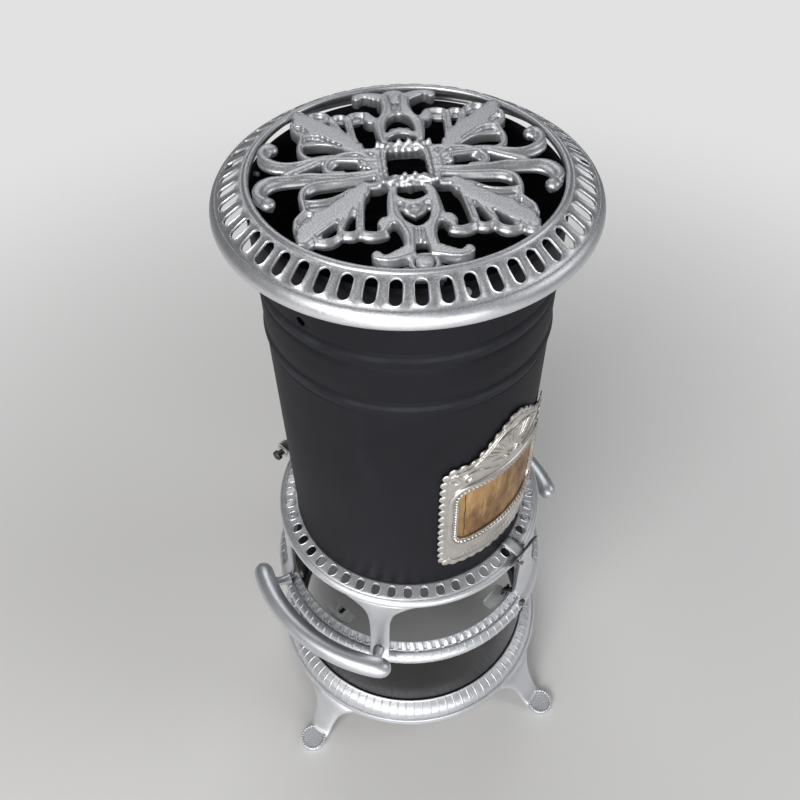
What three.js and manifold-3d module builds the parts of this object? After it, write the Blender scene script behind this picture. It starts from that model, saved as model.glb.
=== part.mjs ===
// Portable cylindrical parlour stove: black sheet drum that tilts back on a silver cast gallery,
// a slotted top ring with a lift-off openwork trivet, an ornamental window and four paw feet.
// Millimetres, +Z up. Origin: centre of the footprint, on the surface that the feet stand on.
// Azimuths are in degrees from the window side (-Y), positive towards +X.
import * as THREE from 'three';
import { mergeVertices } from 'three/addons/utils/BufferGeometryUtils.js';
import Module from 'manifold-3d';

const wasm = await Module();
wasm.setup();

// ---------------------------------------------------------------- driving dimensions
const SEGMENTS = 36; // facets round the rings and sheet cylinders
const CLEARANCE = 0.3; // gap between pieces that touch
const OVERRUN = 20; // how far a cutting tool reaches past what it cuts

// Drum
const DRUM_RADIUS = 105;
const DRUM_WALL = 1;
const DRUM_HEIGHT = 334;
const DRUM_RIB_HEIGHTS = [229.9, 275.1]; // above the drum's lower edge
const DRUM_RIB_HALF_WIDTH = 4;
const DRUM_RIB_RISE = 1.3;
const DRUM_TILT_PLAY = 0.6; // radial play between the drum's lower edge and its seat's lip
const DRUM_HOLE_HEIGHT = 288.3;
const DRUM_HOLE_AZIMUTH = -88;
const DRUM_HOLE_RADIUS = 2.6;

// Lower sleeve
const SLEEVE_RADIUS = 124.5;
const SLEEVE_WALL = 1;
const SLEEVE_HEIGHT = 124.7;
const SLEEVE_SEAT_HEIGHT = 50; // above the floor

// Base casting
const SKIRT_BOTTOM = 40.5; // above the floor
const LEG_AZIMUTHS = [-84.7, 5.3, 95.3, 185.3];
const LEG_FACETS = 24; // facets round the legs' envelope
const LEG_REACH = 52.5; // foot pad's centre outwards from the sleeve
const PAD_RADIUS = 13.7;
const PAD_RECESS_RADIUS = 9;
const PAD_RECESS_FLOOR = 4.6; // above the floor
const LEG_NECK_HALF_WIDTH = 12.6;
const LEG_ROOT_HALF_WIDTH = 58;

// Gallery casting
const GALLERY_HEIGHT = 100; // from the lower ring's foot to the drum's seat
const RING_WIDTH = 8.6; // lower ring's foot, outwards from the sleeve's clearance
const SLOT_COUNT = 50;
const SLOT_START = 1.1; // azimuth of a slot
const SLOT_WIDTH = 6.6;
const SLOT_INNER = 2.4; // inner end of a slot, outwards from the drum
const SLOT_OUTER = 12; // outer end of a slot, outwards from the drum
const POST_AZIMUTHS = [-61.3, -120, 180, 120, 66];
const POST_WIDTH = 18.5;
const POST_THICKNESS = 5;
const POST_RAIL_REACH = 17.2; // face at the slotted ring, outwards from the drum
const RAIL_LIP = 18.1; // slotted ring's lip, outwards from the drum
const POST_ARCH = 24; // half width of a post where it meets the slotted ring
const PANEL_AZIMUTH = 18; // the wide post, beside the catch
const PANEL_HALF_WIDTH = 23;
const PANEL_ARCH = 36;
const LUG_AZIMUTHS = [-112, 8.5, 128];
const LUG_WIDTH = 20;
const LUG_DROP = 28; // below the lower ring's foot

// Handles
const HANDLE_AZIMUTH = 88.5;
const HANDLE_STANDOFF = 17.9; // bar's axis outwards from the lower ring's foot
const HANDLE_BAR_RADIUS = 9.5;
const HANDLE_HALF_SPAN = 33.5; // degrees to each rounded end's tip
const HANDLE_RISE = 27.8; // bar's axis above the lower ring's foot
const HANDLE_ARM_SPREAD = 27; // degrees from the handle's middle to an arm
const HANDLE_ARM_WIDTH = 9;
const HANDLE_ARM_DEPTH = 8;

// Fount brackets
const BRACKET_AZIMUTHS = [-85.5, 0.8, 94.5, -175.5];
const BRACKET_WIDTH = 27;
const BRACKET_NECK = 10;
const BRACKET_REACH = 21;
const BRACKET_PLATE = 2;
const BRACKET_FLANGE = 8;
const BRACKET_HEIGHT = 11.8; // plate's underside above the lower ring's foot
const RING_BORE = 6.5; // lower ring's bore, inwards from the sleeve
const SLEEVE_LAP = 5.4; // lower ring's ledge above its foot

// Top ring and trivet
const TOP_RING_SLOT_COUNT = 50;
const TOP_RING_SLOT_START = 5.8; // azimuth of a slot
const TOP_RING_SLOT_INNER = 2.8; // outwards from the drum
const TOP_RING_SLOT_OUTER = 14.8;
const TOP_RING_LIP = 5; // inner edge inwards from the drum
const TOP_RING_RISE = 11.5; // inner edge above the drum's upper edge
const TRIVET_AZIMUTH = -42.5; // the pin's azimuth
const TRIVET_THICKNESS = 9;
const TRIVET_DROP = 5.8; // trivet's underside below the top ring's inner edge
const COLLAR_RISE = 7; // collar petals above the trivet's face
const PIN_RADIUS = 5;
const PIN_FIT = 0.75; // radial play round the pin
const PIN_INSET = 5.5; // pin's axis inwards from the top ring's inner edge
const RING_LUG_WIDTH = 24;
const RING_LUG_REACH = 14;
const RING_LUG_THICKNESS = 6;

// Window
const WINDOW_AZIMUTH = -2;
const WINDOW_HALF_ANGLE = 34.5;
const WINDOW_BOTTOM = 27; // plate's lower edge above the drum's lower edge
const WINDOW_SHOULDER = 160; // shoulder's height above the drum's lower edge
const WINDOW_CREST = 194; // arch's height above the drum's lower edge
const WINDOW_PLATE_THICKNESS = 2.6;
const MICA_HALF_ANGLE = 26; // visible opening
const MICA_BOTTOM = 62;
const MICA_TOP = 128;
const MICA_CORNER = 8;
const MICA_THICKNESS = 0.8;
const MICA_MARGIN = 3.5; // mica beyond the visible opening
const PLATE_SCREW_RADIUS = 1.8;

// Tilt hinge at the back
const HINGE_SETBACK = 19; // axis behind the drum
const HINGE_DROP = 6.2; // axis below the drum's seat
const HINGE_EAR_INNER = 40; // inner face of an ear from the middle plane
const HINGE_EAR_THICKNESS = 4;
const HINGE_EAR_RADIUS = 9;
const HINGE_LEAF_THICKNESS = 3.5;
const HINGE_LEAF_HALF_ANGLE = 27;
const HINGE_LEAF_BOTTOM = 7; // strap's lower edge above the drum's lower edge
const HINGE_LEAF_HEIGHT = 22;
const HINGE_BOLT_RADIUS = 2.8;
const HINGE_HEAD_RADIUS = 5;
const HINGE_HEAD_LENGTH = 8;
const HINGE_WASHER_RADIUS = 6.4;
const HINGE_WASHER_THICKNESS = 1.2;
const HINGE_NUT_RADIUS = 5.2;
const HINGE_NUT_THICKNESS = 4;
const BOLT_FIT = 0.35; // radial play of a shank in its hole

// Spring catch
const CATCH_AZIMUTH = 5; // middle of the spring leaf
const CATCH_FOOT_AZIMUTH = 7.2;
const CATCH_FOOT_WIDTH = 13;
const CATCH_LEAF_WIDTH = 6.5;
const CATCH_LEAF_THICKNESS = 1;
const CATCH_SWING_ROOM = 0.8; // between the leaf's foot and the ring's bore, and the nut
const CATCH_SEAT_REACH = 6.9; // screw head's seat outwards from the sleeve
const CATCH_PLATE_WIDTH = 38;
const CATCH_PLATE_HEIGHT = 18;
const CATCH_PLATE_FLARE = 4; // outwards lean of the thumb plate
const CATCH_HEAD_RADIUS = 3.6;
const CATCH_SCREW_RISE = 7.6; // above the lower ring's foot

// Small screws
const SCREW_RADIUS = 1.8;
const SCREW_HEAD_RADIUS = 3.6;
const SCREW_HEAD_HEIGHT = 2.2;
const SCREW_SIDES = 8;
const HOLE_SIDES = 6; // small holes and the shanks in them

// ---------------------------------------------------------------- profiles
// Base casting, counter-clockwise: [outwards from the sleeve, up from the skirt's foot].
const BASE_PROFILE = [
  [14.1, 0], [18.4, 0], [18.6, 3], [16.6, 6.6], [15.2, 6.2], [12.9, 12.2], [8.6, 16.3],
  [2, 18.1], [2, 21.8], [CLEARANCE, 21.8], [CLEARANCE, SLEEVE_SEAT_HEIGHT - SKIRT_BOTTOM],
  [-6, SLEEVE_SEAT_HEIGHT - SKIRT_BOTTOM], [-6, 6], [3, 6],
  [6.5, 11.8], [10.4, 8.6],
];
// Leg's envelope, counter-clockwise: [outwards from the pad's centre, above the floor].
const LEG_PROFILE = [
  [-11.5, 0], [14, 0], [14, 4.9], [-4.5, 6.4], [-10.5, 9.6], [-15, 15], [-20, 24.5], [-26, 35],
  [-33, 43], [-39.5, 45.5], [-42.5, 40.5], [-36, 36.5], [-31, 31], [-25, 20], [-19.5, 9],
];
// Lower ring, counter-clockwise: [outwards from the sleeve, up from the ring's foot].
const LOWER_RING_PROFILE = [
  [CLEARANCE, 0], [RING_WIDTH, 0], [9.2, 3.4], [7.2, 7.6], [2.6, 11.1], [1.1, 10.6],
  [0.6, 12.8], [-4.7, 16.9], [-RING_BORE, 16.6], [-RING_BORE, SLEEVE_LAP], [CLEARANCE, SLEEVE_LAP],
];
// Slotted ring, counter-clockwise: [outwards from the drum, up from the drum's seat].
const SLOTTED_RING_PROFILE = [
  [-5.5, -5.2], [12.4, -8], [13, -11.4], [17.1, -11.4], [RAIL_LIP, -8.4], [16.8, -4.9], [13.4, -3.5],
  [12.4, -2.4], [1.9, 0.5], [DRUM_TILT_PLAY, 0.5], [DRUM_TILT_PLAY, 0], [-5.5, 0],
];
// Outer face of the posts: [share of the way in from the lower ring's foot to the slotted ring,
// outwards from there, fraction of the gallery's height].
const POST_FACE = [
  [0, 0.6, 0.01], [0, 0.5, 0.07], [0, -4.36, 0.13], [0.84, 0, 0.28], [1, -0.1, 0.6], [1, 0, 0.93],
];
// Top ring, counter-clockwise: [outwards from the drum, up from the drum's upper edge].
const TOP_RING_PROFILE = [
  [-TOP_RING_LIP, -11.5], [-1.6, -11.5], [-1.6, CLEARANCE], [1, CLEARANCE], [2.2, 5.6], [15.3, -3.2],
  [19.9, -8.3], [19.9, -11.7], [22, -11.7], [22.7, -8.3], [21.6, -3.8], [18.3, 0.3], [16.6, 0.1],
  [2, 9.9], [-0.5, 11.4], [-2.7, TOP_RING_RISE + 1.2], [-TOP_RING_LIP, TOP_RING_RISE],
];
// Trivet, one quarter, from the collar outwards: [across, along, half width] at each point, in
// hundredths of the top ring's opening radius.
const TRIVET_LEAF = [[-17, -19, 3.4], [-27, -29, 5.2], [-42, -46, 7], [-58, -63, 6], [-71, -77, 2]];
const TRIVET_LEAF_RIBS = [
  [[-24, -27, 2.4], [-30, -50, 2.8], [-26, -72, 5.2]],
  [[-37, -44, 2.4], [-41, -58, 2.6], [-39, -70, 4.4]],
  [[-50, -56, 2.6], [-54, -76, 5.2]],
];
const TRIVET_LEAF_LOOP = [
  [-23, -18, 3], [-40, -14.5, 2.8], [-57, -15, 3], [-67, -23, 3.2], [-68.5, -38, 3.2],
  [-66, -60, 3.2],
];
const TRIVET_UPPER_ARM = [
  [-52, 0, 3], [-64, -6.5, 3.2], [-78, -5, 3.6], [-90, -10, 3.8], [-94, -20, 3.6], [-91, -30, 3.4],
  [-84, -30, 3.8],
];
const TRIVET_C_SCROLL = [
  [-21, -9, 3.2], [-30, -13, 2.8], [-42, -12.5, 2.8], [-52, -7, 3], [-55, 0, 3],
];
const TRIVET_EYE = [[-20, -4, 3], [-30, -1.2, 3.4], [-38, 0, 3.8]];
const LYRE_OUTLINE = [
  [-9, -17], [-14.5, -30], [-17, -45], [-15.5, -57], [-10.5, -65], [-9, -78], [-12, -84],
  [-22, -84], [-30, -87], [-33.5, -92],
];
const LYRE_HOLE = [[-9, -22], [-11, -32], [-8.5, -38.5]];
const LYRE_SHIELD = [[-9, -45.5], [-9.5, -52], [-4, -60]];
const LYRE_WINDOW = [[-4, -78], [-4, -86]];
const LYRE_FOOT = [[-30, -98.6], [-18, -101]];
// The trivet's collar, in millimetres
const COLLAR_HALF_WIDTH = 14; // of its opening
const COLLAR_HALF_LENGTH = 17;
const COLLAR_CORNER = 6;
const COLLAR_WALL = 6.5;
const PETAL_PITCH = 8;
const PETAL_RADIUS = 3.6;
const PETAL_INSET = 2.5; // from the collar's outside

// ---------------------------------------------------------------- derived heights and radii
const sleeveBottom = SLEEVE_SEAT_HEIGHT + CLEARANCE;
const sleeveTop = sleeveBottom + SLEEVE_HEIGHT;
const galleryFoot = sleeveTop + CLEARANCE - SLEEVE_LAP;
const ringFootRadius = SLEEVE_RADIUS + RING_WIDTH;
const drumSeat = galleryFoot + GALLERY_HEIGHT;
const drumBottom = drumSeat + CLEARANCE;
const drumTop = drumBottom + DRUM_HEIGHT;
const ringInnerEdge = drumTop + TOP_RING_RISE;
const trivetBottom = ringInnerEdge - TRIVET_DROP;
const trivetTop = trivetBottom + TRIVET_THICKNESS;
const topRingOpening = DRUM_RADIUS - TOP_RING_LIP;
const trivetUnit = topRingOpening / 100; // of the trivet's tables
const pinDistance = topRingOpening - PIN_INSET;
const padDistance = SLEEVE_RADIUS + LEG_REACH;
const handleBow = ringFootRadius + HANDLE_STANDOFF;
const hingeBack = DRUM_RADIUS + HINGE_SETBACK;
const railFace = DRUM_RADIUS + POST_RAIL_REACH;
const wellInside = DRUM_RADIUS * 0.6; // where the tools that go through a wall start and end
const wellOutside = DRUM_RADIUS * 1.5;
const drumInside = DRUM_RADIUS - 7;
const drumOutside = DRUM_RADIUS + 5;

// ---------------------------------------------------------------- geometry helpers
const rad = THREE.MathUtils.degToRad;

// Closed solid from a closed three.js geometry.
function solid(geometry) {
  const bare = geometry.clone();
  bare.deleteAttribute('normal');
  bare.deleteAttribute('uv');
  const welded = mergeVertices(bare, 1e-4);
  const corners = welded.index.array;
  const triangles = [];
  for (let i = 0; i < corners.length; i += 3) {
    const [a, b, c] = [corners[i], corners[i + 1], corners[i + 2]];
    if (a !== b && b !== c && c !== a) {
      triangles.push(a, b, c);
    }
  }
  return new wasm.Manifold(new wasm.Mesh({
    numProp: 3,
    vertProperties: new Float32Array(welded.attributes.position.array),
    triVerts: new Uint32Array(triangles),
  }));
}

function join(pieces) {
  return pieces.reduce((whole, piece) => whole.add(piece));
}

function cut(body, tools) {
  return tools.reduce((rest, tool) => rest.subtract(tool), body);
}

// Ring or disc: a closed [radius, height] profile turned about the axis. With a slot's azimuth
// given, the facets are turned so that the slot lies in the middle of one.
function revolve(profile, segments = SEGMENTS, slotAzimuth = 180 / segments) {
  const points = [...profile, profile[0]].map(([r, z]) => new THREE.Vector2(r, z));
  const geometry = new THREE.LatheGeometry(points, segments);
  geometry.rotateX(Math.PI / 2);
  geometry.rotateZ(rad(slotAzimuth - 180 / segments));
  return solid(geometry);
}

function offsetProfile(profile, radius, height) {
  return profile.map(([r, z]) => [radius + r, height + z]);
}

function toShape(points) {
  return new THREE.Shape(points.map(([x, y]) => new THREE.Vector2(x, y)));
}

function extrusion(shape, depth) {
  return new THREE.ExtrudeGeometry(shape, { depth, bevelEnabled: false, curveSegments: 4 });
}

// Plan outline raised from one height to another.
function prism(points, bottom, top) {
  const geometry = extrusion(toShape(points), top - bottom);
  geometry.translate(0, 0, bottom);
  return solid(geometry);
}

// Outline of [across, height] points, extruded outwards between two radii at an azimuth.
function radialPrism(points, inner, outer, azimuth) {
  const geometry = extrusion(toShape(points), outer - inner);
  geometry.translate(0, 0, inner);
  geometry.rotateX(Math.PI / 2);
  geometry.rotateZ(rad(azimuth));
  return solid(geometry);
}

function polar(radius, azimuth, height = 0) {
  return new THREE.Vector3(
    radius * Math.sin(rad(azimuth)), -radius * Math.cos(rad(azimuth)), height);
}

// Straight round bar between two points.
function rod(from, to, radius, sides = SCREW_SIDES) {
  const along = to.clone().sub(from);
  const geometry = new THREE.CylinderGeometry(radius, radius, along.length(), sides);
  const turn = new THREE.Quaternion().setFromUnitVectors(
    new THREE.Vector3(0, 1, 0), along.clone().normalize());
  geometry.applyQuaternion(turn);
  const middle = from.clone().add(to).multiplyScalar(0.5);
  geometry.translate(middle.x, middle.y, middle.z);
  return solid(geometry);
}

function radialRod(azimuth, height, inner, outer, radius, sides = SCREW_SIDES) {
  return rod(polar(inner, azimuth, height), polar(outer, azimuth, height), radius, sides);
}

// Hole for a small screw's shank.
function screwHole(azimuth, height, inner, outer) {
  return radialRod(azimuth, height, inner, outer, SCREW_RADIUS + BOLT_FIT, HOLE_SIDES);
}

// Box of a width across, a depth along the radius and a height, at an azimuth.
function radialBox(azimuth, inner, outer, width, bottom, top) {
  const half = width / 2;
  const face = [[-half, bottom], [half, bottom], [half, top], [-half, top]];
  return radialPrism(face, inner, outer, azimuth);
}

// Rounded slot outline along y, centred on x = 0.
function slotOutline(inner, outer, width, steps = 2) {
  const r = width / 2;
  const points = [];
  for (let i = 0; i <= steps; i += 1) {
    const a = Math.PI * (i / steps);
    points.push([r * Math.cos(a), outer - r + r * Math.sin(a)]);
  }
  for (let i = 0; i <= steps; i += 1) {
    const a = Math.PI * (1 + i / steps);
    points.push([r * Math.cos(a), inner + r + r * Math.sin(a)]);
  }
  return points;
}

function turnedPrism(points, bottom, top, azimuth) {
  const geometry = extrusion(toShape(points), top - bottom);
  geometry.translate(0, 0, bottom);
  geometry.rotateZ(rad(azimuth) + Math.PI);
  return solid(geometry);
}

// Evenly spaced radial slots through a ring.
function slotTools(count, inner, outer, width, bottom, top, start) {
  const tools = [];
  for (let i = 0; i < count; i += 1) {
    tools.push(turnedPrism(slotOutline(inner, outer, width), bottom, top, start + (i * 360) / count));
  }
  return tools;
}

// Flat bar of varying width along a smooth line, with round ends.
function strokeOutline(points, perSpan) {
  const curve = new THREE.CatmullRomCurve3(
    points.map(([x, y, w]) => new THREE.Vector3(x, y, w)), false, 'centripetal');
  const samples = curve.getPoints((points.length - 1) * perSpan);
  const left = [];
  const right = [];
  samples.forEach((p, i) => {
    const a = samples[Math.max(0, i - 1)];
    const b = samples[Math.min(samples.length - 1, i + 1)];
    const length = Math.hypot(b.x - a.x, b.y - a.y);
    const nx = -(b.y - a.y) / length;
    const ny = (b.x - a.x) / length;
    left.push([p.x + nx * p.z, p.y + ny * p.z]);
    right.push([p.x - nx * p.z, p.y - ny * p.z]);
  });
  const cap = (p, from, sign) => [-50, 50].map((d) => {
    const a = from + rad(d) * sign;
    return [p.x + p.z * Math.cos(a), p.y + p.z * Math.sin(a)];
  });
  const last = samples.length - 1;
  const endAngle = Math.atan2(
    samples[last].y - samples[last - 1].y, samples[last].x - samples[last - 1].x);
  const startAngle = Math.atan2(samples[0].y - samples[1].y, samples[0].x - samples[1].x);
  return [
    ...left,
    ...cap(samples[last], endAngle, -1),
    ...right.reverse(),
    ...cap(samples[0], startAngle, -1),
  ];
}

function disc(x, y, radius, sides = 6) {
  const points = [];
  for (let i = 0; i < sides; i += 1) {
    const a = (2 * Math.PI * i) / sides;
    points.push([x + radius * Math.cos(a), y + radius * Math.sin(a)]);
  }
  return points;
}

function mirrored(points, sx, sy) {
  return points.map(([x, y, ...rest]) => [sx * x, sy * y, ...rest]);
}

// ---------------------------------------------------------------- scene graph
const finishes = {
  silver: { color: 0xb9bcc2, roughness: 0.42, metalness: 0.75 },
  black: { color: 0x222226, roughness: 0.45, metalness: 0.3 },
  nickel: { color: 0xd4d2cc, roughness: 0.25, metalness: 0.95 },
  mica: { color: 0x8f6f4b, roughness: 0.3, metalness: 0 },
  steel: { color: 0x6b6e73, roughness: 0.4, metalness: 0.85 },
  blackSteel: { color: 0x17171a, roughness: 0.45, metalness: 0.7 },
};

const stove = new THREE.Group();

function place(name, piece, finish) {
  const mesh = piece.getMesh();
  const geometry = new THREE.BufferGeometry();
  geometry.setAttribute('position', new THREE.BufferAttribute(mesh.vertProperties, 3));
  geometry.setIndex(new THREE.BufferAttribute(mesh.triVerts, 1));
  geometry.computeVertexNormals();
  const material = new THREE.MeshStandardMaterial({ ...finishes[finish], flatShading: true });
  const node = new THREE.Mesh(geometry, material);
  node.name = name;
  stove.add(node);
}

// Round-head screw along a radius, its head outside or inside.
function radialScrew(azimuth, height, tip, seat, headOutwards) {
  const sign = headOutwards ? 1 : -1;
  const head = radialRod(
    azimuth, height, seat, seat + sign * SCREW_HEAD_HEIGHT, SCREW_HEAD_RADIUS);
  const shank = radialRod(azimuth, height, tip, seat + sign * 0.5, SCREW_RADIUS, HOLE_SIDES);
  return head.add(shank);
}

// ---------------------------------------------------------------- base casting
function legOutline() {
  const tip = padDistance + PAD_RADIUS + 1;
  const root = padDistance - 43;
  const half = [
    [LEG_ROOT_HALF_WIDTH, root - 8], [LEG_ROOT_HALF_WIDTH * 0.72, root + 4],
    [LEG_ROOT_HALF_WIDTH * 0.42, root + 10.5], [LEG_NECK_HALF_WIDTH * 1.32, root + 18],
    [LEG_NECK_HALF_WIDTH, root + 27], [LEG_NECK_HALF_WIDTH, padDistance - PAD_RADIUS * 0.4],
  ];
  const other = half.map(([w, r]) => [-w, r]).reverse();
  return [...half, [PAD_RADIUS * 0.95, tip], [-PAD_RADIUS * 0.95, tip], ...other];
}

function makeBase() {
  const ring = revolve(offsetProfile(BASE_PROFILE, SLEEVE_RADIUS, SKIRT_BOTTOM));
  const spread = 1 / Math.cos(Math.PI / LEG_FACETS);
  const profile = LEG_PROFILE.map(([r, z]) => [(padDistance + r) * spread, z]);
  const envelope = revolve(profile, LEG_FACETS, LEG_AZIMUTHS[0]);
  const legs = LEG_AZIMUTHS.map((azimuth) => {
    const leg = turnedPrism(legOutline(), -1, SKIRT_BOTTOM + 8, azimuth).intersect(envelope);
    const pad = polar(padDistance, azimuth);
    const beyond = padDistance - PAD_RADIUS * 0.4;
    const nose = turnedPrism(
      [[-40, beyond], [40, beyond], [40, beyond + 60], [-40, beyond + 60]], -1, 60, azimuth);
    const round = rod(pad.clone().setZ(-2), pad.clone().setZ(60), PAD_RADIUS, 20);
    const recess = rod(
      pad.clone().setZ(PAD_RECESS_FLOOR), pad.clone().setZ(30), PAD_RECESS_RADIUS, 12);
    return leg.subtract(nose.subtract(round)).subtract(recess);
  });
  return join([ring, ...legs]);
}

// ---------------------------------------------------------------- gallery casting
function postOutline(halfWidth, arch, foot, top) {
  const height = top - foot;
  const half = [
    [halfWidth * 1.05, foot], [halfWidth * 1.02, foot + height * 0.2],
    [halfWidth, foot + height * 0.42], [halfWidth + (arch - halfWidth) * 0.12, foot + height * 0.62],
    [halfWidth + (arch - halfWidth) * 0.4, foot + height * 0.78],
    [arch, foot + height * 0.87], [arch + 3, top],
  ];
  return [...half, ...half.map(([w, z]) => [-w, z]).reverse()];
}

// Outer face of the posts, [radius, height], moved outwards by a margin.
function postFace(margin) {
  return POST_FACE.map(([share, bulge, f]) => [
    ringFootRadius + (railFace - ringFootRadius) * share + bulge + margin,
    galleryFoot + f * GALLERY_HEIGHT]);
}

function postShell(thickness) {
  const face = postFace(0);
  const back = face.map(([r, z]) => [r - thickness, z]).reverse();
  return revolve([...face, ...back]);
}

// Outline of [back, height] points, extruded between two distances to the right.
function sidePrism(points, left, right) {
  const geometry = extrusion(toShape(points), right - left);
  geometry.applyMatrix4(new THREE.Matrix4().makeBasis(
    new THREE.Vector3(0, 1, 0), new THREE.Vector3(0, 0, 1), new THREE.Vector3(1, 0, 0)));
  geometry.translate(left, 0, 0);
  return solid(geometry);
}

const hingeHeight = drumSeat - HINGE_DROP;

function hingeSide(points, inner, thickness, side) {
  return side > 0
    ? sidePrism(points, inner, inner + thickness)
    : sidePrism(points, -inner - thickness, -inner);
}

function hingeHole(radius, side) {
  return rod(
    new THREE.Vector3(side * (HINGE_EAR_INNER - OVERRUN), hingeBack, hingeHeight),
    new THREE.Vector3(side * (HINGE_EAR_INNER + 2 * OVERRUN), hingeBack, hingeHeight), radius, 12);
}

function roundEnd(radius, from, to, steps) {
  const points = [];
  for (let i = 0; i <= steps; i += 1) {
    const a = rad(from + ((to - from) * i) / steps);
    points.push([hingeBack + radius * Math.cos(a), hingeHeight + radius * Math.sin(a)]);
  }
  return points;
}

function hingeEar(side) {
  const outline = [
    [DRUM_RADIUS + 2, drumSeat - 4.5], [hingeBack - 11, hingeHeight - 5],
    ...roundEnd(HINGE_EAR_RADIUS, -110, 110, 9), [DRUM_RADIUS + 6, drumSeat - 0.6],
  ];
  return hingeSide(outline, HINGE_EAR_INNER, HINGE_EAR_THICKNESS, side);
}

const ringBore = SLEEVE_RADIUS - RING_BORE;
const ringBoreFlat = ringBore * Math.cos(Math.PI / SEGMENTS); // at the middle of a facet
const bracketHeight = galleryFoot + BRACKET_HEIGHT;
const bracketScrewHeight = bracketHeight - BRACKET_FLANGE / 2;
const catchScrewHeight = galleryFoot + CATCH_SCREW_RISE;
const catchSeat = SLEEVE_RADIUS + CATCH_SEAT_REACH;
const lugFace = ringFootRadius - 1.6;
const lugScrewHeight = galleryFoot - LUG_DROP * 0.5;
const handleHeight = galleryFoot + HANDLE_RISE;
const armHeight = galleryFoot + 13.4;

// Azimuths of the two arms of the handle on one side (-1 left, 1 right).
function armAzimuths(side) {
  return [-1, 1].map((end) => side * HANDLE_AZIMUTH + end * HANDLE_ARM_SPREAD);
}

function makeGallery() {
  const lower = revolve(offsetProfile(LOWER_RING_PROFILE, SLEEVE_RADIUS, galleryFoot));
  const upper = revolve(
    offsetProfile(SLOTTED_RING_PROFILE, DRUM_RADIUS, drumSeat), SLOT_COUNT, SLOT_START);
  const shell = postShell(POST_THICKNESS);
  const foot = galleryFoot + 1;
  const top = drumSeat - 6;
  const posts = POST_AZIMUTHS.map((azimuth) => radialPrism(
    postOutline(POST_WIDTH / 2, POST_ARCH, foot, top), wellInside, wellOutside, azimuth)
    .intersect(shell));
  const panel = radialPrism(
    postOutline(PANEL_HALF_WIDTH, PANEL_ARCH, foot, top), wellInside, wellOutside, PANEL_AZIMUTH)
    .intersect(shell);
  const sleeveRoom = rod(
    new THREE.Vector3(0, 0, SLEEVE_SEAT_HEIGHT), new THREE.Vector3(0, 0, galleryFoot + SLEEVE_LAP),
    SLEEVE_RADIUS + CLEARANCE, SEGMENTS);
  const lugs = LUG_AZIMUTHS.map((azimuth) => {
    const w = LUG_WIDTH / 2;
    const base = galleryFoot - LUG_DROP;
    const face = [[-w * 0.55, base], [w * 0.55, base], [w, base + 6], [w, foot + 2], [-w, foot + 2],
      [-w, base + 6]];
    return radialPrism(face, SLEEVE_RADIUS - 6, lugFace, azimuth).subtract(sleeveRoom);
  });
  const body = join([lower, upper, ...posts, panel, ...lugs, hingeEar(-1), hingeEar(1)]);
  const slots = slotTools(
    SLOT_COUNT, DRUM_RADIUS + SLOT_INNER, DRUM_RADIUS + SLOT_OUTER, SLOT_WIDTH,
    drumSeat - 9, drumSeat + 3, SLOT_START);
  const holes = [
    ...LUG_AZIMUTHS.map((a) => screwHole(a, lugScrewHeight, SLEEVE_RADIUS - 4, lugFace + 2)),
    ...BRACKET_AZIMUTHS.map((a) => screwHole(a, bracketScrewHeight, ringBore - 2, ringBore + 6)),
    ...[-1, 1].flatMap(armAzimuths).map((a) => screwHole(
      a, armHeight, ringBore - 2, ringBore + 20)),
    ...[-1, 1].map((side) => hingeHole(HINGE_BOLT_RADIUS + BOLT_FIT, side)),
    screwHole(CATCH_FOOT_AZIMUTH, catchScrewHeight, ringBore - 2, catchSeat + 9),
    radialRod(
      CATCH_FOOT_AZIMUTH, catchScrewHeight, catchSeat, catchSeat + 9,
      CATCH_HEAD_RADIUS + CLEARANCE + 0.2),
  ];
  return cut(body, [...slots, ...holes]);
}

// ---------------------------------------------------------------- handles
function makeHandle(side) {
  const length = rad(2 * HANDLE_HALF_SPAN) * handleBow - 2 * HANDLE_BAR_RADIUS;
  const geometry = new THREE.CapsuleGeometry(HANDLE_BAR_RADIUS, length, 3, 10, 10);
  const position = geometry.attributes.position;
  for (let i = 0; i < position.count; i += 1) {
    const azimuth = side * HANDLE_AZIMUTH
      + THREE.MathUtils.radToDeg(position.getY(i) / handleBow);
    const point = polar(
      handleBow + position.getX(i), azimuth, handleHeight + position.getZ(i));
    position.setXYZ(i, point.x, point.y, point.z);
  }
  const bar = solid(geometry);
  const w = HANDLE_ARM_WIDTH / 2;
  const arms = armAzimuths(side).map((azimuth) => {
    const inner = ringFootRadius - 8;
    const outer = handleBow - 2;
    const d = HANDLE_ARM_DEPTH / 2;
    const shape = [
      [inner, armHeight - d], [outer - 5, handleHeight - d - 3], [outer, handleHeight - d],
      [outer, handleHeight + d], [ringFootRadius + 4, armHeight + d + 3], [inner, armHeight + d],
    ];
    const arm = extrusion(toShape(shape), 2 * w);
    arm.applyMatrix4(new THREE.Matrix4().makeBasis(
      new THREE.Vector3(0, -1, 0), new THREE.Vector3(0, 0, 1), new THREE.Vector3(-1, 0, 0)));
    arm.translate(w, 0, 0);
    arm.rotateZ(rad(azimuth));
    return solid(arm);
  });
  const seat = [
    [ringBore - 5, galleryFoot - 20], [ringFootRadius + 3, galleryFoot - 20],
    ...postFace(CLEARANCE),
    [ringBore - 5, galleryFoot + GALLERY_HEIGHT],
  ];
  const holes = armAzimuths(side).map((a) => screwHole(
    a, armHeight, ringBore - 2, ringBore + 20));
  return cut(join([bar, ...arms]), [revolve(seat), ...holes]);
}

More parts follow.
